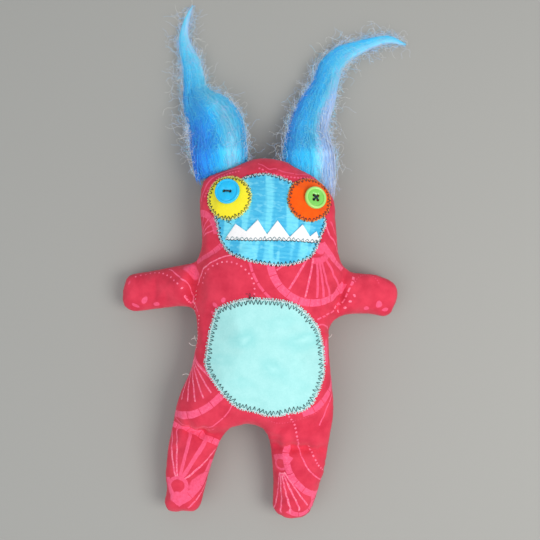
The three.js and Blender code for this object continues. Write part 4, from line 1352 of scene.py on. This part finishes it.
def button_stitches(holes, seat):
    """Paths and radii of the threads that cross a button from hole to hole."""
    pairs = [(0, 1)] if len(holes) == 2 else [(0, 3), (1, 2)]
    paths = []
    for number, (a, b) in enumerate(pairs):
        start, end = np.array(holes[a]), np.array(holes[b])
        way = (end - start) / np.linalg.norm(end - start)
        beside = np.array((-way[1], way[0]))
        for strand in (-1, 0, 1):
            rows = []
            for share, height in STITCH_RISE:
                flat = start + (end - start) * share + beside * strand * STRAND_PITCH
                rows.append((*flat, height * MM + number * CROSSING_RISE))
            paths.append([seat @ Vector(row) for row in rows])
    return paths, [STRAND_RADIUS] * len(paths)


class PLUSH_OT_teeth(bpy.types.Operator):
    """Sews the strip of felt teeth across the mouth"""

    bl_idname = "plush.teeth"
    bl_label = "Teeth"

    def execute(self, context):
        thickness = context.scene.plush_patches.felt
        white = felt("white_felt", "#FDFAF9", "#F4F0F0", "#FFFFFF")
        under = [bpy.data.objects["body_skin"], bpy.data.objects["face_felt"]]
        loop = straight_loop(TEETH, 0.4)
        made = sewn_patch("teeth_felt", loop, 0.0005, thickness, under, white, hold_down=0.3, corners=TEETH)
        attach(made, "body")
        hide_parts("teeth_strip")
        return {"FINISHED"}


# A zigzag's height over the cloth in millimetres on its way from one turn to the next
ZIGZAG_RISE = ((0, -0.3), (0.1, 0.2), (0.5, 0.38), (0.9, 0.2))
# How unevenly a zigzag is sewn: its width and its pitch vary by these shares
UNEVEN_WIDTH, UNEVEN_PITCH = 0.2, 0.12


def zigzag(rows, pitch, width, at, inset=0.0, seed=1):
    """Zigzag stitches along an edge: a thread that dips through the cloth at each turn. Its middle lies inset
    within the edge. Millimetres in, metres out."""
    travel = travelled(rows)
    count = 2 * int(travel[-1] / pitch)
    middle = between(np.linspace(0, travel[-1], count + 1), travel, rows)
    way = np.gradient(middle, axis=0)
    way /= np.linalg.norm(way, axis=1)[:, None]
    across = np.column_stack([way[:, 1], -way[:, 0]])
    random = np.random.default_rng(seed)
    sway = width / 2 * (1 + UNEVEN_WIDTH * random.standard_normal(count + 1))
    sway *= np.where(np.arange(count + 1) % 2, 1, -1)
    slip = UNEVEN_PITCH * pitch * random.standard_normal((count + 1, 1))
    turns = middle + across * (sway - inset)[:, None] + way * slip
    path = []
    for start, end in zip(turns, turns[1:]):
        for share, rise in ZIGZAG_RISE:
            x, y = (start + (end - start) * share) * MM
            path.append((x, y, at(x, y)[0] + rise * MM))
    return path


def open_runs(loop, hidden):
    """The stretches of a closed loop outside the hidden circles, each [middle, radius]."""
    shown = np.ones(len(loop), bool)
    for middle, radius in hidden:
        shown &= np.linalg.norm(loop - middle, axis=1) > radius
    if shown.all():
        return [np.vstack([loop, loop[:1]])]
    first = int(np.argmin(shown))
    loop, shown = np.roll(loop, -first, 0), np.roll(shown, -first)
    breaks = [*np.flatnonzero(np.diff(shown.astype(int))), len(loop) - 1]
    return [loop[a + 1:b + 1] for a, b in zip(breaks[::2], breaks[1::2])]


def fringe(runs, at, spacing, length, seed):
    """Short fibres that stand out from a cut edge between its stitches."""
    random = np.random.default_rng(seed)
    paths = []
    for rows in runs:
        travel = travelled(rows)
        for spot in np.arange(0, travel[-1], spacing):
            spot += random.uniform(-0.5, 0.5) * spacing
            here, ahead = between((spot, spot + 0.3), travel, rows)
            way = (ahead - here) / max(np.linalg.norm(ahead - here), 1e-9)
            out = np.array((way[1], -way[0])) * random.uniform(0.5, 1.0) + way * random.uniform(-0.6, 0.6)
            points = []
            for share in (-0.25, 0.35, 1.0):
                x, y = (here + out * length * share) * MM
                points.append((x, y, at(x, y)[0] + (0.7 - 0.3 * share) * MM))
            paths.append(points)
    return paths


def around(loop):
    """A closed loop turned so that its right side is outside."""
    x, y = loop[:, 0], loop[:, 1]
    area = (x * np.roll(y, -1) - np.roll(x, -1) * y).sum()
    return loop if area > 0 else loop[::-1]


# Circles, in millimetres, in which the right horn comes close to the orange eye as it folds up, so that no
# fibres of the felt stand out there
BELOW_HORN = [((28, 110), 11), ((38, 107), 11), ((46.5, 103.5), 11)]
# Where the stitches lie that close the toy by hand, in millimetres
CLOSED = [(-47.2 + 3.8 * (y < 8), y) for y in np.arange(-16, 27, 2.9)]
# For each patch: the material of its frayed edge, the fibres' spacing and length in millimetres, and its slot
FRAYS = {
    "face": ("brushed_blue_felt", 0.9, 1.2, "blue_felt"), "belly": ("aqua_fleece", 0.8, 1.6, "aqua_fleece"),
    "yellow_eye": ("yellow_felt", 1.3, 0.8, "yellow_felt"),
    "orange_eye": ("orange_felt", 1.3, 0.7, "orange_felt"),
}
# Each zigzag's pitch, width and inset in millimetres and its thread's radius in metres
ZIGZAGS = {
    "face": (3.0, 3.0, 0.4, 0.00024), "belly": (2.9, 4.4, 1.7, 0.00021),
    "yellow_eye": (2.8, 3.0, 0.8, 0.00024), "orange_eye": (2.8, 3.0, 0.8, 0.00024),
}
# Radii in metres: of the fibres of frayed edges, the zigzag along the gum, the dark one below it, the loose
# ends of thread and the stitches that close the toy
FRAY_RADIUS, GUM_RADIUS, BELOW_RADIUS, END_RADIUS, CLOSING_RADIUS = 0.00024, 0.00022, 0.00027, 0.0002, 0.0003
# How far in from the gum's edge its zigzag lies, and how far below that the dark one lies, in millimetres
GUM_IN, BELOW_GUM = 0.9, 1.1
# How many steps a loose end of thread has
END_STEPS = 8
# Loose ends of thread: where each starts, its heading in degrees, its length and how far it curls
THREAD_ENDS = (
    (-8.4, 23.5, 60, 5, 160), (-7, 23.2, 100, 4, -200), (-9.5, 22.8, 20, 5.5, 120),
    (-6.2, 23.9, -20, 4.5, 220), (-7.7, 22.2, 200, 4, 90), (-27.6, 76.8, -80, 4.2, 70),
    (-26.8, 77.4, -60, 3.2, -110), (-28.4, 77.6, -110, 3, 60), (-27.2, 78.1, -40, 2.6, 120),
)
PALE_ENDS = (
    (-43.6, -9.9, 168, 5, 60), (-44.4, -15, 200, 6, -80), (-47.4, -36.9, 160, 5.2, 60),
    (-44.2, -12, 140, 4.5, -60), (51, -1, 10, 4, 80),
)


class PLUSH_OT_stitches(bpy.types.Operator):
    """Runs the zigzag stitches round the patches and under the teeth, with frayed edges and thread ends"""

    bl_idname = "plush.stitches"
    bl_label = "Stitches"

    def execute(self, context):
        dark = bpy.data.materials["navy_thread"]
        grey = cotton_thread("grey_thread", "#7C9CA0", "#C8D8D8")
        pale = cotton_thread("pale_thread", "#E8ECE4", "#FFFFFF")
        felts = ("face_felt", "belly_fleece", "yellow_eye_felt", "orange_eye_felt", "teeth_felt")
        at = surface_of(*[bpy.data.objects[name] for name in ("body_skin", *felts)])
        eyes = {disc: eye_circle(disc) for disc in ("yellow", "orange")}
        face = open_runs(around(smooth_loop(FACE, 0.4)), [(m, r + 0.6) for m, r in eyes.values()])
        belly = open_runs(around(smooth_loop(BELLY, 0.4)), [])
        runs = {"face": face, "belly": belly}
        for disc, (middle, radius) in eyes.items():
            runs[disc + "_eye"] = open_runs(around(circle_loop(middle, radius, 0.4, wobble=EYE_WOBBLE)), [])
        for number, (name, stretches) in enumerate(runs.items()):
            pitch, width, inset, radius = ZIGZAGS[name]
            paths = [zigzag(rows, pitch, width, at, inset, seed=number) for rows in stretches]
            self.sewn(name + "_stitches", paths, radius, dark)
        runs["orange_eye"] = open_runs(runs["orange_eye"][0][:-1], BELOW_HORN)
        for number, (name, (material, spacing, length, slot)) in enumerate(FRAYS.items()):
            fibres = fringe(runs[name], at, spacing, length, seed=20 + number)
            made = self.sewn(name + "_fray", fibres, FRAY_RADIUS, bpy.data.materials[material], slot)
            made.data.attributes.new("edge", "FLOAT", "POINT").data.foreach_set(
                "value", np.ones(len(made.data.vertices), np.float32),
            )
        gum = np.array(TEETH[-4:] + TEETH[:1], float) + (0, GUM_IN)
        gum = between(np.linspace(0, 4, 120), range(5), gum)
        below = gum - (0, BELOW_GUM)
        self.sewn("teeth_stitches", [zigzag(gum, 3.2, 2.3, at, seed=9)], GUM_RADIUS, grey)
        self.sewn("gum_dots", [zigzag(below, 2.4, 0.9, at, seed=9)], BELOW_RADIUS, dark)
        self.sewn("thread_ends", [self.end(at, *spec) for spec in THREAD_ENDS], END_RADIUS, dark)
        self.sewn("pale_ends", [self.end(at, *spec) for spec in PALE_ENDS], END_RADIUS, pale)
        pink = cotton_thread("pink_thread", "#F0A0AC", "#FFDCDC")
        self.sewn("closing_stitches", self.closing(at), CLOSING_RADIUS, pink)
        return {"FINISHED"}

    def closing(self, at):
        """The hand stitches that close the gap through which the toy was filled, under its left arm."""
        paths = []
        for x, y in CLOSED:
            rows = [(x + 0.35 * share, y + 0.9 * share) for share in (-0.5, 0, 0.5)]
            paths.append([(u * MM, v * MM, at(u * MM, v * MM)[0] + 0.12 * MM) for u, v in rows])
        return paths

    def sewn(self, name, paths, radius, material, slot="dark_thread"):
        made = threads(name, paths, [radius] * len(paths), material)
        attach(made, "body")
        return made

    def end(self, at, x, y, heading, length, curl):
        """A loose end of thread that lies on the cloth in a small curl."""
        points, turn = [], math.radians(heading)
        for step in range(END_STEPS + 1):
            rise = (0.25 + 0.35 * math.sin(step * 0.9)) * MM
            points.append((x * MM, y * MM, at(x * MM, y * MM)[0] + rise))
            x, y = x + math.cos(turn) * length / END_STEPS, y + math.sin(turn) * length / END_STEPS
            turn += math.radians(curl) / END_STEPS
        return points


# Each horn's middle line and half width in millimetres, from its root to its tip
HORN_LEFT = [
    (-37, 112.4, 19.5), (-40.5, 129.3, 20.4), (-43.7, 144.5, 20.8), (-49.3, 154.9, 19.5),
    (-58.5, 164.3, 14.2), (-63.7, 174.1, 9), (-65.4, 184.8, 7.6), (-69.3, 197.1, 6.8), (-74.6, 207.8, 4.6),
    (-76.9, 217.1, 3), (-75.7, 228.2, 1.8), (-73.4, 235.8, 1.0), (-71.8, 240.6, 0.3),
]
HORN_RIGHT = [
    (28.1, 116.5, 20.4), (24.7, 134.9, 18.4), (23.6, 150.4, 14.9), (26.2, 164.5, 13.4), (30.6, 175.8, 12.3),
    (34.1, 188.7, 9.4), (35.5, 199.6, 9), (43.7, 211.5, 7.2), (56.3, 218.5, 4.9), (68.8, 224.5, 3.4),
    (80.1, 228.1, 2.7), (92.8, 224.9, 0.5),
]


# Where each horn is sewn in along the head's seam, in millimetres
ROOTS = {"left": ((-54.5, 104.5), (-19, 118)), "right": ((8, 118.5), (46.5, 103.5))}


# Half a horn's thickness, as a share of half its width and at most, and at the seam, in metres
HORN_FLATNESS, HORN_THICKEST, SEWN_THICK = 0.68, 0.0125, 0.0035
# How far along a horn is free of the seam, and the stretch in which it comes down to the surface, in metres
FREE_AT = 0.016
COMES_DOWN = (0.002, 0.045)
# The gap under a horn's middle and the lowest place of its fibres, in metres
HORN_CLEAR, FIBRE_CLEAR = 0.0006, 0.0004


def horn_form(side, rows, count=90):
    """A horn's form at even steps: its spine, half width and half thickness, the way across it and how far it
    has left the seam, in metres."""
    rows = np.array(rows, float) * MM
    travel = travelled(rows[:, :2])
    even = np.linspace(0, travel[-1], count)
    line = between(even, travel, rows)
    for _ in range(8):
        line[1:-1] = (line[:-2] + 2 * line[1:-1] + line[2:]) / 4
    half = line[:, 2]
    thick = np.minimum(half * HORN_FLATNESS, HORN_THICKEST)
    fall = ramp(even, *COMES_DOWN)
    height = SEAM_LEVEL * (1 - fall) + (thick + HORN_CLEAR) * fall
    way = np.gradient(line[:, :2], axis=0)
    way /= np.linalg.norm(way, axis=1)[:, None]
    across = np.column_stack([way[:, 1], -way[:, 0]])
    return {
        "spine": np.column_stack([line[:, :2], height]), "half": half, "thick": thick, "across": across,
        "travel": even, "left_seam": ramp(even, 0.0, FREE_AT), "root": np.array(ROOTS[side]) * MM,
    }


def in_horn(form, at, beside, above):
    """Places inside a horn: at is a step along it, beside and above run from -1 to 1."""
    step = np.arange(len(form["travel"]))

    def along(values):
        if values.ndim == 1:
            return np.interp(at, step, values)
        return between(at, step, values)

    spine, across = along(form["spine"]), along(form["across"])
    free = along(form["left_seam"])[:, None]
    share = (np.asarray(beside) + 1)[:, None] / 2
    sewn = form["root"][0] * (1 - share) + form["root"][1] * share
    loose = spine[:, :2] + across * (beside * along(form["half"]))[:, None]
    thickness = along(form["thick"]) * free[:, 0] + SEWN_THICK * (1 - free[:, 0])
    height = spine[:, 2] + above * thickness
    return np.column_stack([sewn * (1 - free) + loose * free, height])


def wool_tone(side, beside, share):
    """Tone of the dyed wool, from 0, deep blue, to 1, lavender: beside runs across the horn from -1 to 1 and
    share along it from 0 to 1. The left horn has a pale streak near its right edge, and the right horn a
    lavender one low down."""
    over = 0.5 + 0.5 * np.clip(beside, -1.0, 1.1)
    if side == "left":
        tone = 0.2 + 0.3 * over + 0.42 * ramp(share, 0.3, 1.0)
        tone += 0.3 * np.exp(-((beside - 0.45) / 0.3) ** 2) * (1 - ramp(share, 0.3, 0.5))
        tone -= 0.14 * ramp(-beside, -0.2, 0.6) * (1 - ramp(share, 0.2, 0.4))
        return tone - 0.1 * ramp(beside, 0.75, 1.0) * (1 - ramp(share, 0.25, 0.4))
    tone = 0.3 + 0.42 * over**1.6 + 0.16 * ramp(share, 0.45, 1.0)
    tone += 0.34 * ramp(beside, -0.05, 0.6) * (1 - ramp(share, 0.35, 0.6))
    return tone - 0.16 * ramp(-beside, 0.45, 1.0) * ramp(share, 0.1, 0.2) * (1 - ramp(share, 0.4, 0.6))


class PLUSH_OT_horns(bpy.types.Operator):
    """Draws out the two horns of wool roving, with their loose fibres"""

    bl_idname = "plush.horns"
    bl_label = "Horns"

    def execute(self, context):
        settings = context.scene.plush_horns
        wool = wool_roving()
        for side, rows, seed in (("left", HORN_LEFT, 3), ("right", HORN_RIGHT, 4)):
            form = horn_form(side, rows)
            core = horn_core(side, form, wool)
            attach(core, "horn_" + side)
            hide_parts("horn_" + side)
            fibres = horn_fibres(side, form, seed, wool, settings)
            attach(fibres, "horn_" + side)
        return {"FINISHED"}


class PlushHornSettings(bpy.types.PropertyGroup):
    combed: IntProperty(
        name="Combed Strands", description="Strands drawn along each horn", default=1100, min=0,
    )
    tangle: IntProperty(
        name="Tangles", description="Curly fibres that lie over each horn", default=900, min=0,
    )
    frizz: IntProperty(
        name="Frizz", description="Short fibres that stand off each horn's edges", default=600, min=0,
    )
    flyaway: IntProperty(
        name="Flyaways", description="Long curly fibres round each horn", default=600, min=0,
    )
    strand: FloatProperty(
        name="Strand Radius", description="Half the width of a combed strand", default=0.00021, unit="LENGTH",
    )


def wool_roving():
    """Combed wool roving: matt fine fibres dyed in streaks, from deep blue through sky blue to lavender. Its
    streaks follow the fibres. Single fibres are far too fine to show, so strands of them are drawn."""
    material, tree, shader = new_material("wool_roving")
    fibre = put(tree, "Attribute", attribute_name="fibre").outputs["Vector"]
    split = put(tree, "SeparateXYZ", (fibre,))
    combed = put(tree, "VectorMath", (fibre, (0, 1.6, 0.05)), operation="MULTIPLY")
    streaks = put(tree, "TexNoise", {"Vector": combed, "Scale": 1.0, "Detail": 4, "Roughness": 0.6})
    tone = put(tree, "Math", (streaks, 0.34, split.outputs[0]), operation="MULTIPLY_ADD")
    centred = put(tree, "Math", (tone, 0.17), operation="SUBTRACT")
    scaled = put(tree, "Math", (centred, 0.8), operation="MULTIPLY")
    hues = put(tree, "ValToRGB", (scaled,))
    stops = (
        (0.0, "#0C88FA"), (0.15, "#12AAFE"), (0.32, "#2CCAFF"), (0.48, "#5CDEFF"), (0.62, "#92E6FF"),
        (0.74, "#A8D4FF"), (0.84, "#C8DCFF"), (1.0, "#F4F2EA"),
    )
    for spot, _ in stops[1:-1]:
        hues.color_ramp.elements.new(spot)
    for element, (spot, colour) in zip(hues.color_ramp.elements, stops):
        element.position, element.color = spot, look(colour)
    fine = put(tree, "VectorMath", (fibre, (0, 5.0, 0.12)), operation="MULTIPLY")
    strands = put(tree, "TexNoise", {"Vector": fine, "Scale": 1.0, "Detail": 3})
    bump = put(tree, "Bump", {"Height": strands, "Strength": 0.6, "Distance": 0.0006})
    feed(tree, shader, {
        "Base Color": hues, "Normal": bump, "Roughness": 0.85, "Sheen Weight": 0.35, "Sheen Roughness": 0.6,
        "Specular IOR Level": 0.2,
    })
    return material


# Number of points round each ring of a horn's core, its size as a share of the horn's, and by how much it is
# smaller at the root, over how many rings
CORE_SIDES, CORE_SIZE, ROOT_SMALLER, ROOT_RINGS = 28, 0.93, 0.3, 8


def horn_core(side, form, material):
    """The dense middle of a horn: rings along its spine, bridged and closed at both ends."""
    made = bmesh.new()
    rings, values = [], []
    turns = np.linspace(0, 2 * math.pi, CORE_SIDES, endpoint=False)
    steps = np.arange(0, len(form["travel"]) - 1, 1.0)
    for at in steps:
        spots = [Vector((math.cos(t) * 1.6, math.sin(t) * 1.6, at * 0.09)) for t in turns]
        lumps = np.array([noise.noise(spot) for spot in spots])
        size = CORE_SIZE - ROOT_SMALLER * (1 - min(at / ROOT_RINGS, 1)) ** 2
        beside, above = np.cos(turns) * size * (1 + 0.1 * lumps), np.sin(turns) * size * (1 + 0.14 * lumps)
        places = in_horn(form, np.full(CORE_SIDES, at), beside, above)
        ring = bmesh.ops.create_circle(made, segments=CORE_SIDES, radius=0.001)["verts"]
        for vertex, place in zip(ring, places):
            vertex.co = place[0], place[1], max(place[2], FIBRE_CLEAR)
        rings.append(ring)
        tone = wool_tone(side, beside, np.full(CORE_SIDES, at / steps[-1]))
        values.append(np.column_stack([tone, np.sin(turns) * 3 + beside * 14, np.full(CORE_SIDES, at)]))
    made.verts.index_update()
    for low, high in zip(rings, rings[1:]):
        pair = [set(low), set(high)]
        loops = {e for ring in pair for v in ring for e in v.link_edges if set(e.verts) <= ring}
        bmesh.ops.bridge_loops(made, edges=list(loops))
    bmesh.ops.holes_fill(made, edges=[e for e in made.edges if e.is_boundary], sides=0)
    bmesh.ops.recalc_face_normals(made, faces=made.faces)
    core = finished("horn_%s_core" % side, made, material)
    mark_fibres(core, np.vstack(values))
    return core


def mark_fibres(piece, values):
    """Stores each vertex's tone and its place across and along the fibres, for the wool."""
    layer = piece.data.attributes.new("fibre", "FLOAT_VECTOR", "POINT")
    layer.data.foreach_set("vector", values.astype(np.float32).ravel())


# Radii of the tangled, frizzy and flyaway fibres, and the least half width that a horn counts with, in metres
TANGLE_RADIUS, FRIZZ_RADIUS, FLYAWAY_RADIUS = 0.0001, 0.00007, 0.000055
THINNEST = 0.0015
# How a combed strand's radius changes from its root to its tip
STRAND_SHAPE = np.array([0.4, 0.9, 1, 1, 1, 1, 0.9, 0.6, 0.1])


def horn_fibres(side, form, seed, material, settings):
    """Combed strands over a horn's middle, curly tangles on them, short frizz at its edges and long curly
    fibres round it."""
    random = np.random.default_rng(seed)
    last = len(form["travel"]) - 1
    paths, sizes, marks = [], [], []

    def half_width(at):
        return max(np.interp(at, np.arange(last + 1), form["half"]), THINNEST)

    def lay(points, radius, tone, across):
        points[:, 2] = np.maximum(points[:, 2], FIBRE_CLEAR)
        paths.append(points)
        sizes.append(radius)
        count = len(points)
        marks.append(np.column_stack([
            np.broadcast_to(tone, count), np.full(count, across), np.linspace(0, 8, count),
        ]))

    for number in range(settings.combed):
        start = 0 if number % 5 == 0 else random.uniform(0, 0.8) * last
        at = np.linspace(start, min(last, start + random.uniform(0.2, 0.5) * last), 9)
        turn = random.uniform(0, 2 * math.pi)
        drift = random.uniform(-0.5, 0.5) * np.linspace(0, 1, 9)
        drift += 0.12 * np.sin(np.linspace(0, 5, 9) + turn * 3)
        out = random.uniform(0.9, 1.03)
        beside, above = out * np.cos(turn + drift), out * np.sin(turn + drift)
        points = in_horn(form, at, beside, above) + random.normal(0, 0.00012, (9, 3))
        if start == 0:
            points[0] += (points[0] - points[1]) * random.uniform(-0.6, 0.7)
        radius = settings.strand * random.uniform(0.6, 1.2) * STRAND_SHAPE
        lay(points, radius, wool_tone(side, beside, at / last) + random.normal(0, 0.05), turn * 12)
    for number in range(settings.tangle):
        at, beside = random.uniform(0.02, 0.97) * last, random.uniform(-0.95, 0.95)
        turn = random.uniform(0, 2 * math.pi) + np.cumsum(random.normal(0, 0.75, 7))
        run = np.clip(at + np.cumsum(np.cos(turn)) * 0.55, 0, last)
        beside = np.clip(beside + np.cumsum(np.sin(turn)) * 0.0008 / half_width(at), -1, 1)
        points = in_horn(form, run, beside, np.sqrt(1 - beside**2) * random.uniform(0.99, 1.12))
        points += random.normal(0, 0.0001, (7, 3))
        tone = wool_tone(side, beside, run / last) + random.uniform(0.05, 0.35)
        lay(points, np.full(7, TANGLE_RADIUS), tone, number)
    for number in range(settings.frizz):
        at = random.uniform(0.02, 0.99) * last
        edge = random.choice((-1, 1))
        beside = edge * (1 + np.linspace(-0.1, 1, 6) * random.uniform(1, 4.5) * MM / half_width(at))
        run = at + np.linspace(0, random.uniform(-3, 6), 6)
        points = in_horn(form, np.clip(run, 0, last), beside, np.full(6, random.uniform(-0.4, 0.7)))
        points += np.cumsum(random.normal(0, 0.0003, (6, 3)), axis=0)
        lay(points, np.full(6, FRIZZ_RADIUS), random.uniform(0.7, 1.3), number)
    for number in range(settings.flyaway):
        at = random.uniform(0.05, 0.97) * last
        edge = random.choice((-1, 1))
        here = in_horn(form, np.array([at]), np.array([edge * 0.9]), np.array([random.uniform(0, 0.7)]))[0]
        across = form["across"][int(at)]
        combed = np.array((-across[1], across[0])) * random.uniform(-0.5, 1.3)
        way = np.append(across * edge * random.uniform(0.3, 1.1) + combed, random.uniform(-0.2, 0.35))
        bend, swing, points = random.normal(0, 0.55), random.uniform(0.3, 1.3), []
        stride = 0.0005 + 0.0018 * random.uniform(0, 1) ** 2.5
        for step in range(10):
            points.append(here.copy())
            here += way / np.linalg.norm(way) * stride
            turn = bend * 0.5 + swing * math.sin(step * 1.1 + number)
            cosine, sine = math.cos(turn), math.sin(turn)
            way[:2] = way[0] * cosine - way[1] * sine, way[0] * sine + way[1] * cosine
        lay(np.array(points), np.full(10, FLYAWAY_RADIUS), random.uniform(0.8, 1.4), number)
    made = threads("horn_%s_fibres" % side, paths, sizes, material, caps=False)
    mark_fibres(made, np.repeat(np.vstack(marks), 4, axis=0))
    return made


class PLUSH_PT_steps(bpy.types.Panel):
    """Lists the steps that make the toy, in the order in which they are run, with their settings"""

    bl_idname = "PLUSH_PT_steps"
    bl_label = "Plush Monster"
    bl_space_type = "VIEW_3D"
    bl_region_type = "UI"
    bl_category = "Plush Monster"

    def draw(self, context):
        for step in STEPS:
            self.layout.operator(step.bl_idname)
        for name, group in SETTINGS.items():
            box = self.layout.box()
            box.label(text=name.replace("_", " ").title())
            for setting in group.__annotations__:
                box.prop(getattr(context.scene, name), setting)


STEPS = (
    PLUSH_OT_stage, PLUSH_OT_skin, PLUSH_OT_patches, PLUSH_OT_eyes, PLUSH_OT_teeth, PLUSH_OT_stitches,
    PLUSH_OT_horns,
)
SETTINGS = {
    "plush_body": PlushBodySettings, "plush_patches": PlushPatchSettings, "plush_eyes": PlushEyeSettings,
    "plush_horns": PlushHornSettings, "plush_stage": PlushStageSettings,
}
CLASSES = (*SETTINGS.values(), *STEPS, PLUSH_PT_steps)


def register():
    for item in CLASSES:
        bpy.utils.register_class(item)
    for name, group in SETTINGS.items():
        setattr(bpy.types.Scene, name, PointerProperty(type=group))


def unregister():
    for name in SETTINGS:
        delattr(bpy.types.Scene, name)
    for item in reversed(CLASSES):
        bpy.utils.unregister_class(item)


def main():
    register()
    bpy.ops.plush.stage()
    bpy.ops.plush.skin()
    bpy.ops.plush.patches()
    bpy.ops.plush.eyes()
    bpy.ops.plush.teeth()
    bpy.ops.plush.stitches()
    bpy.ops.plush.horns()


if __name__ == "__main__":
    main()
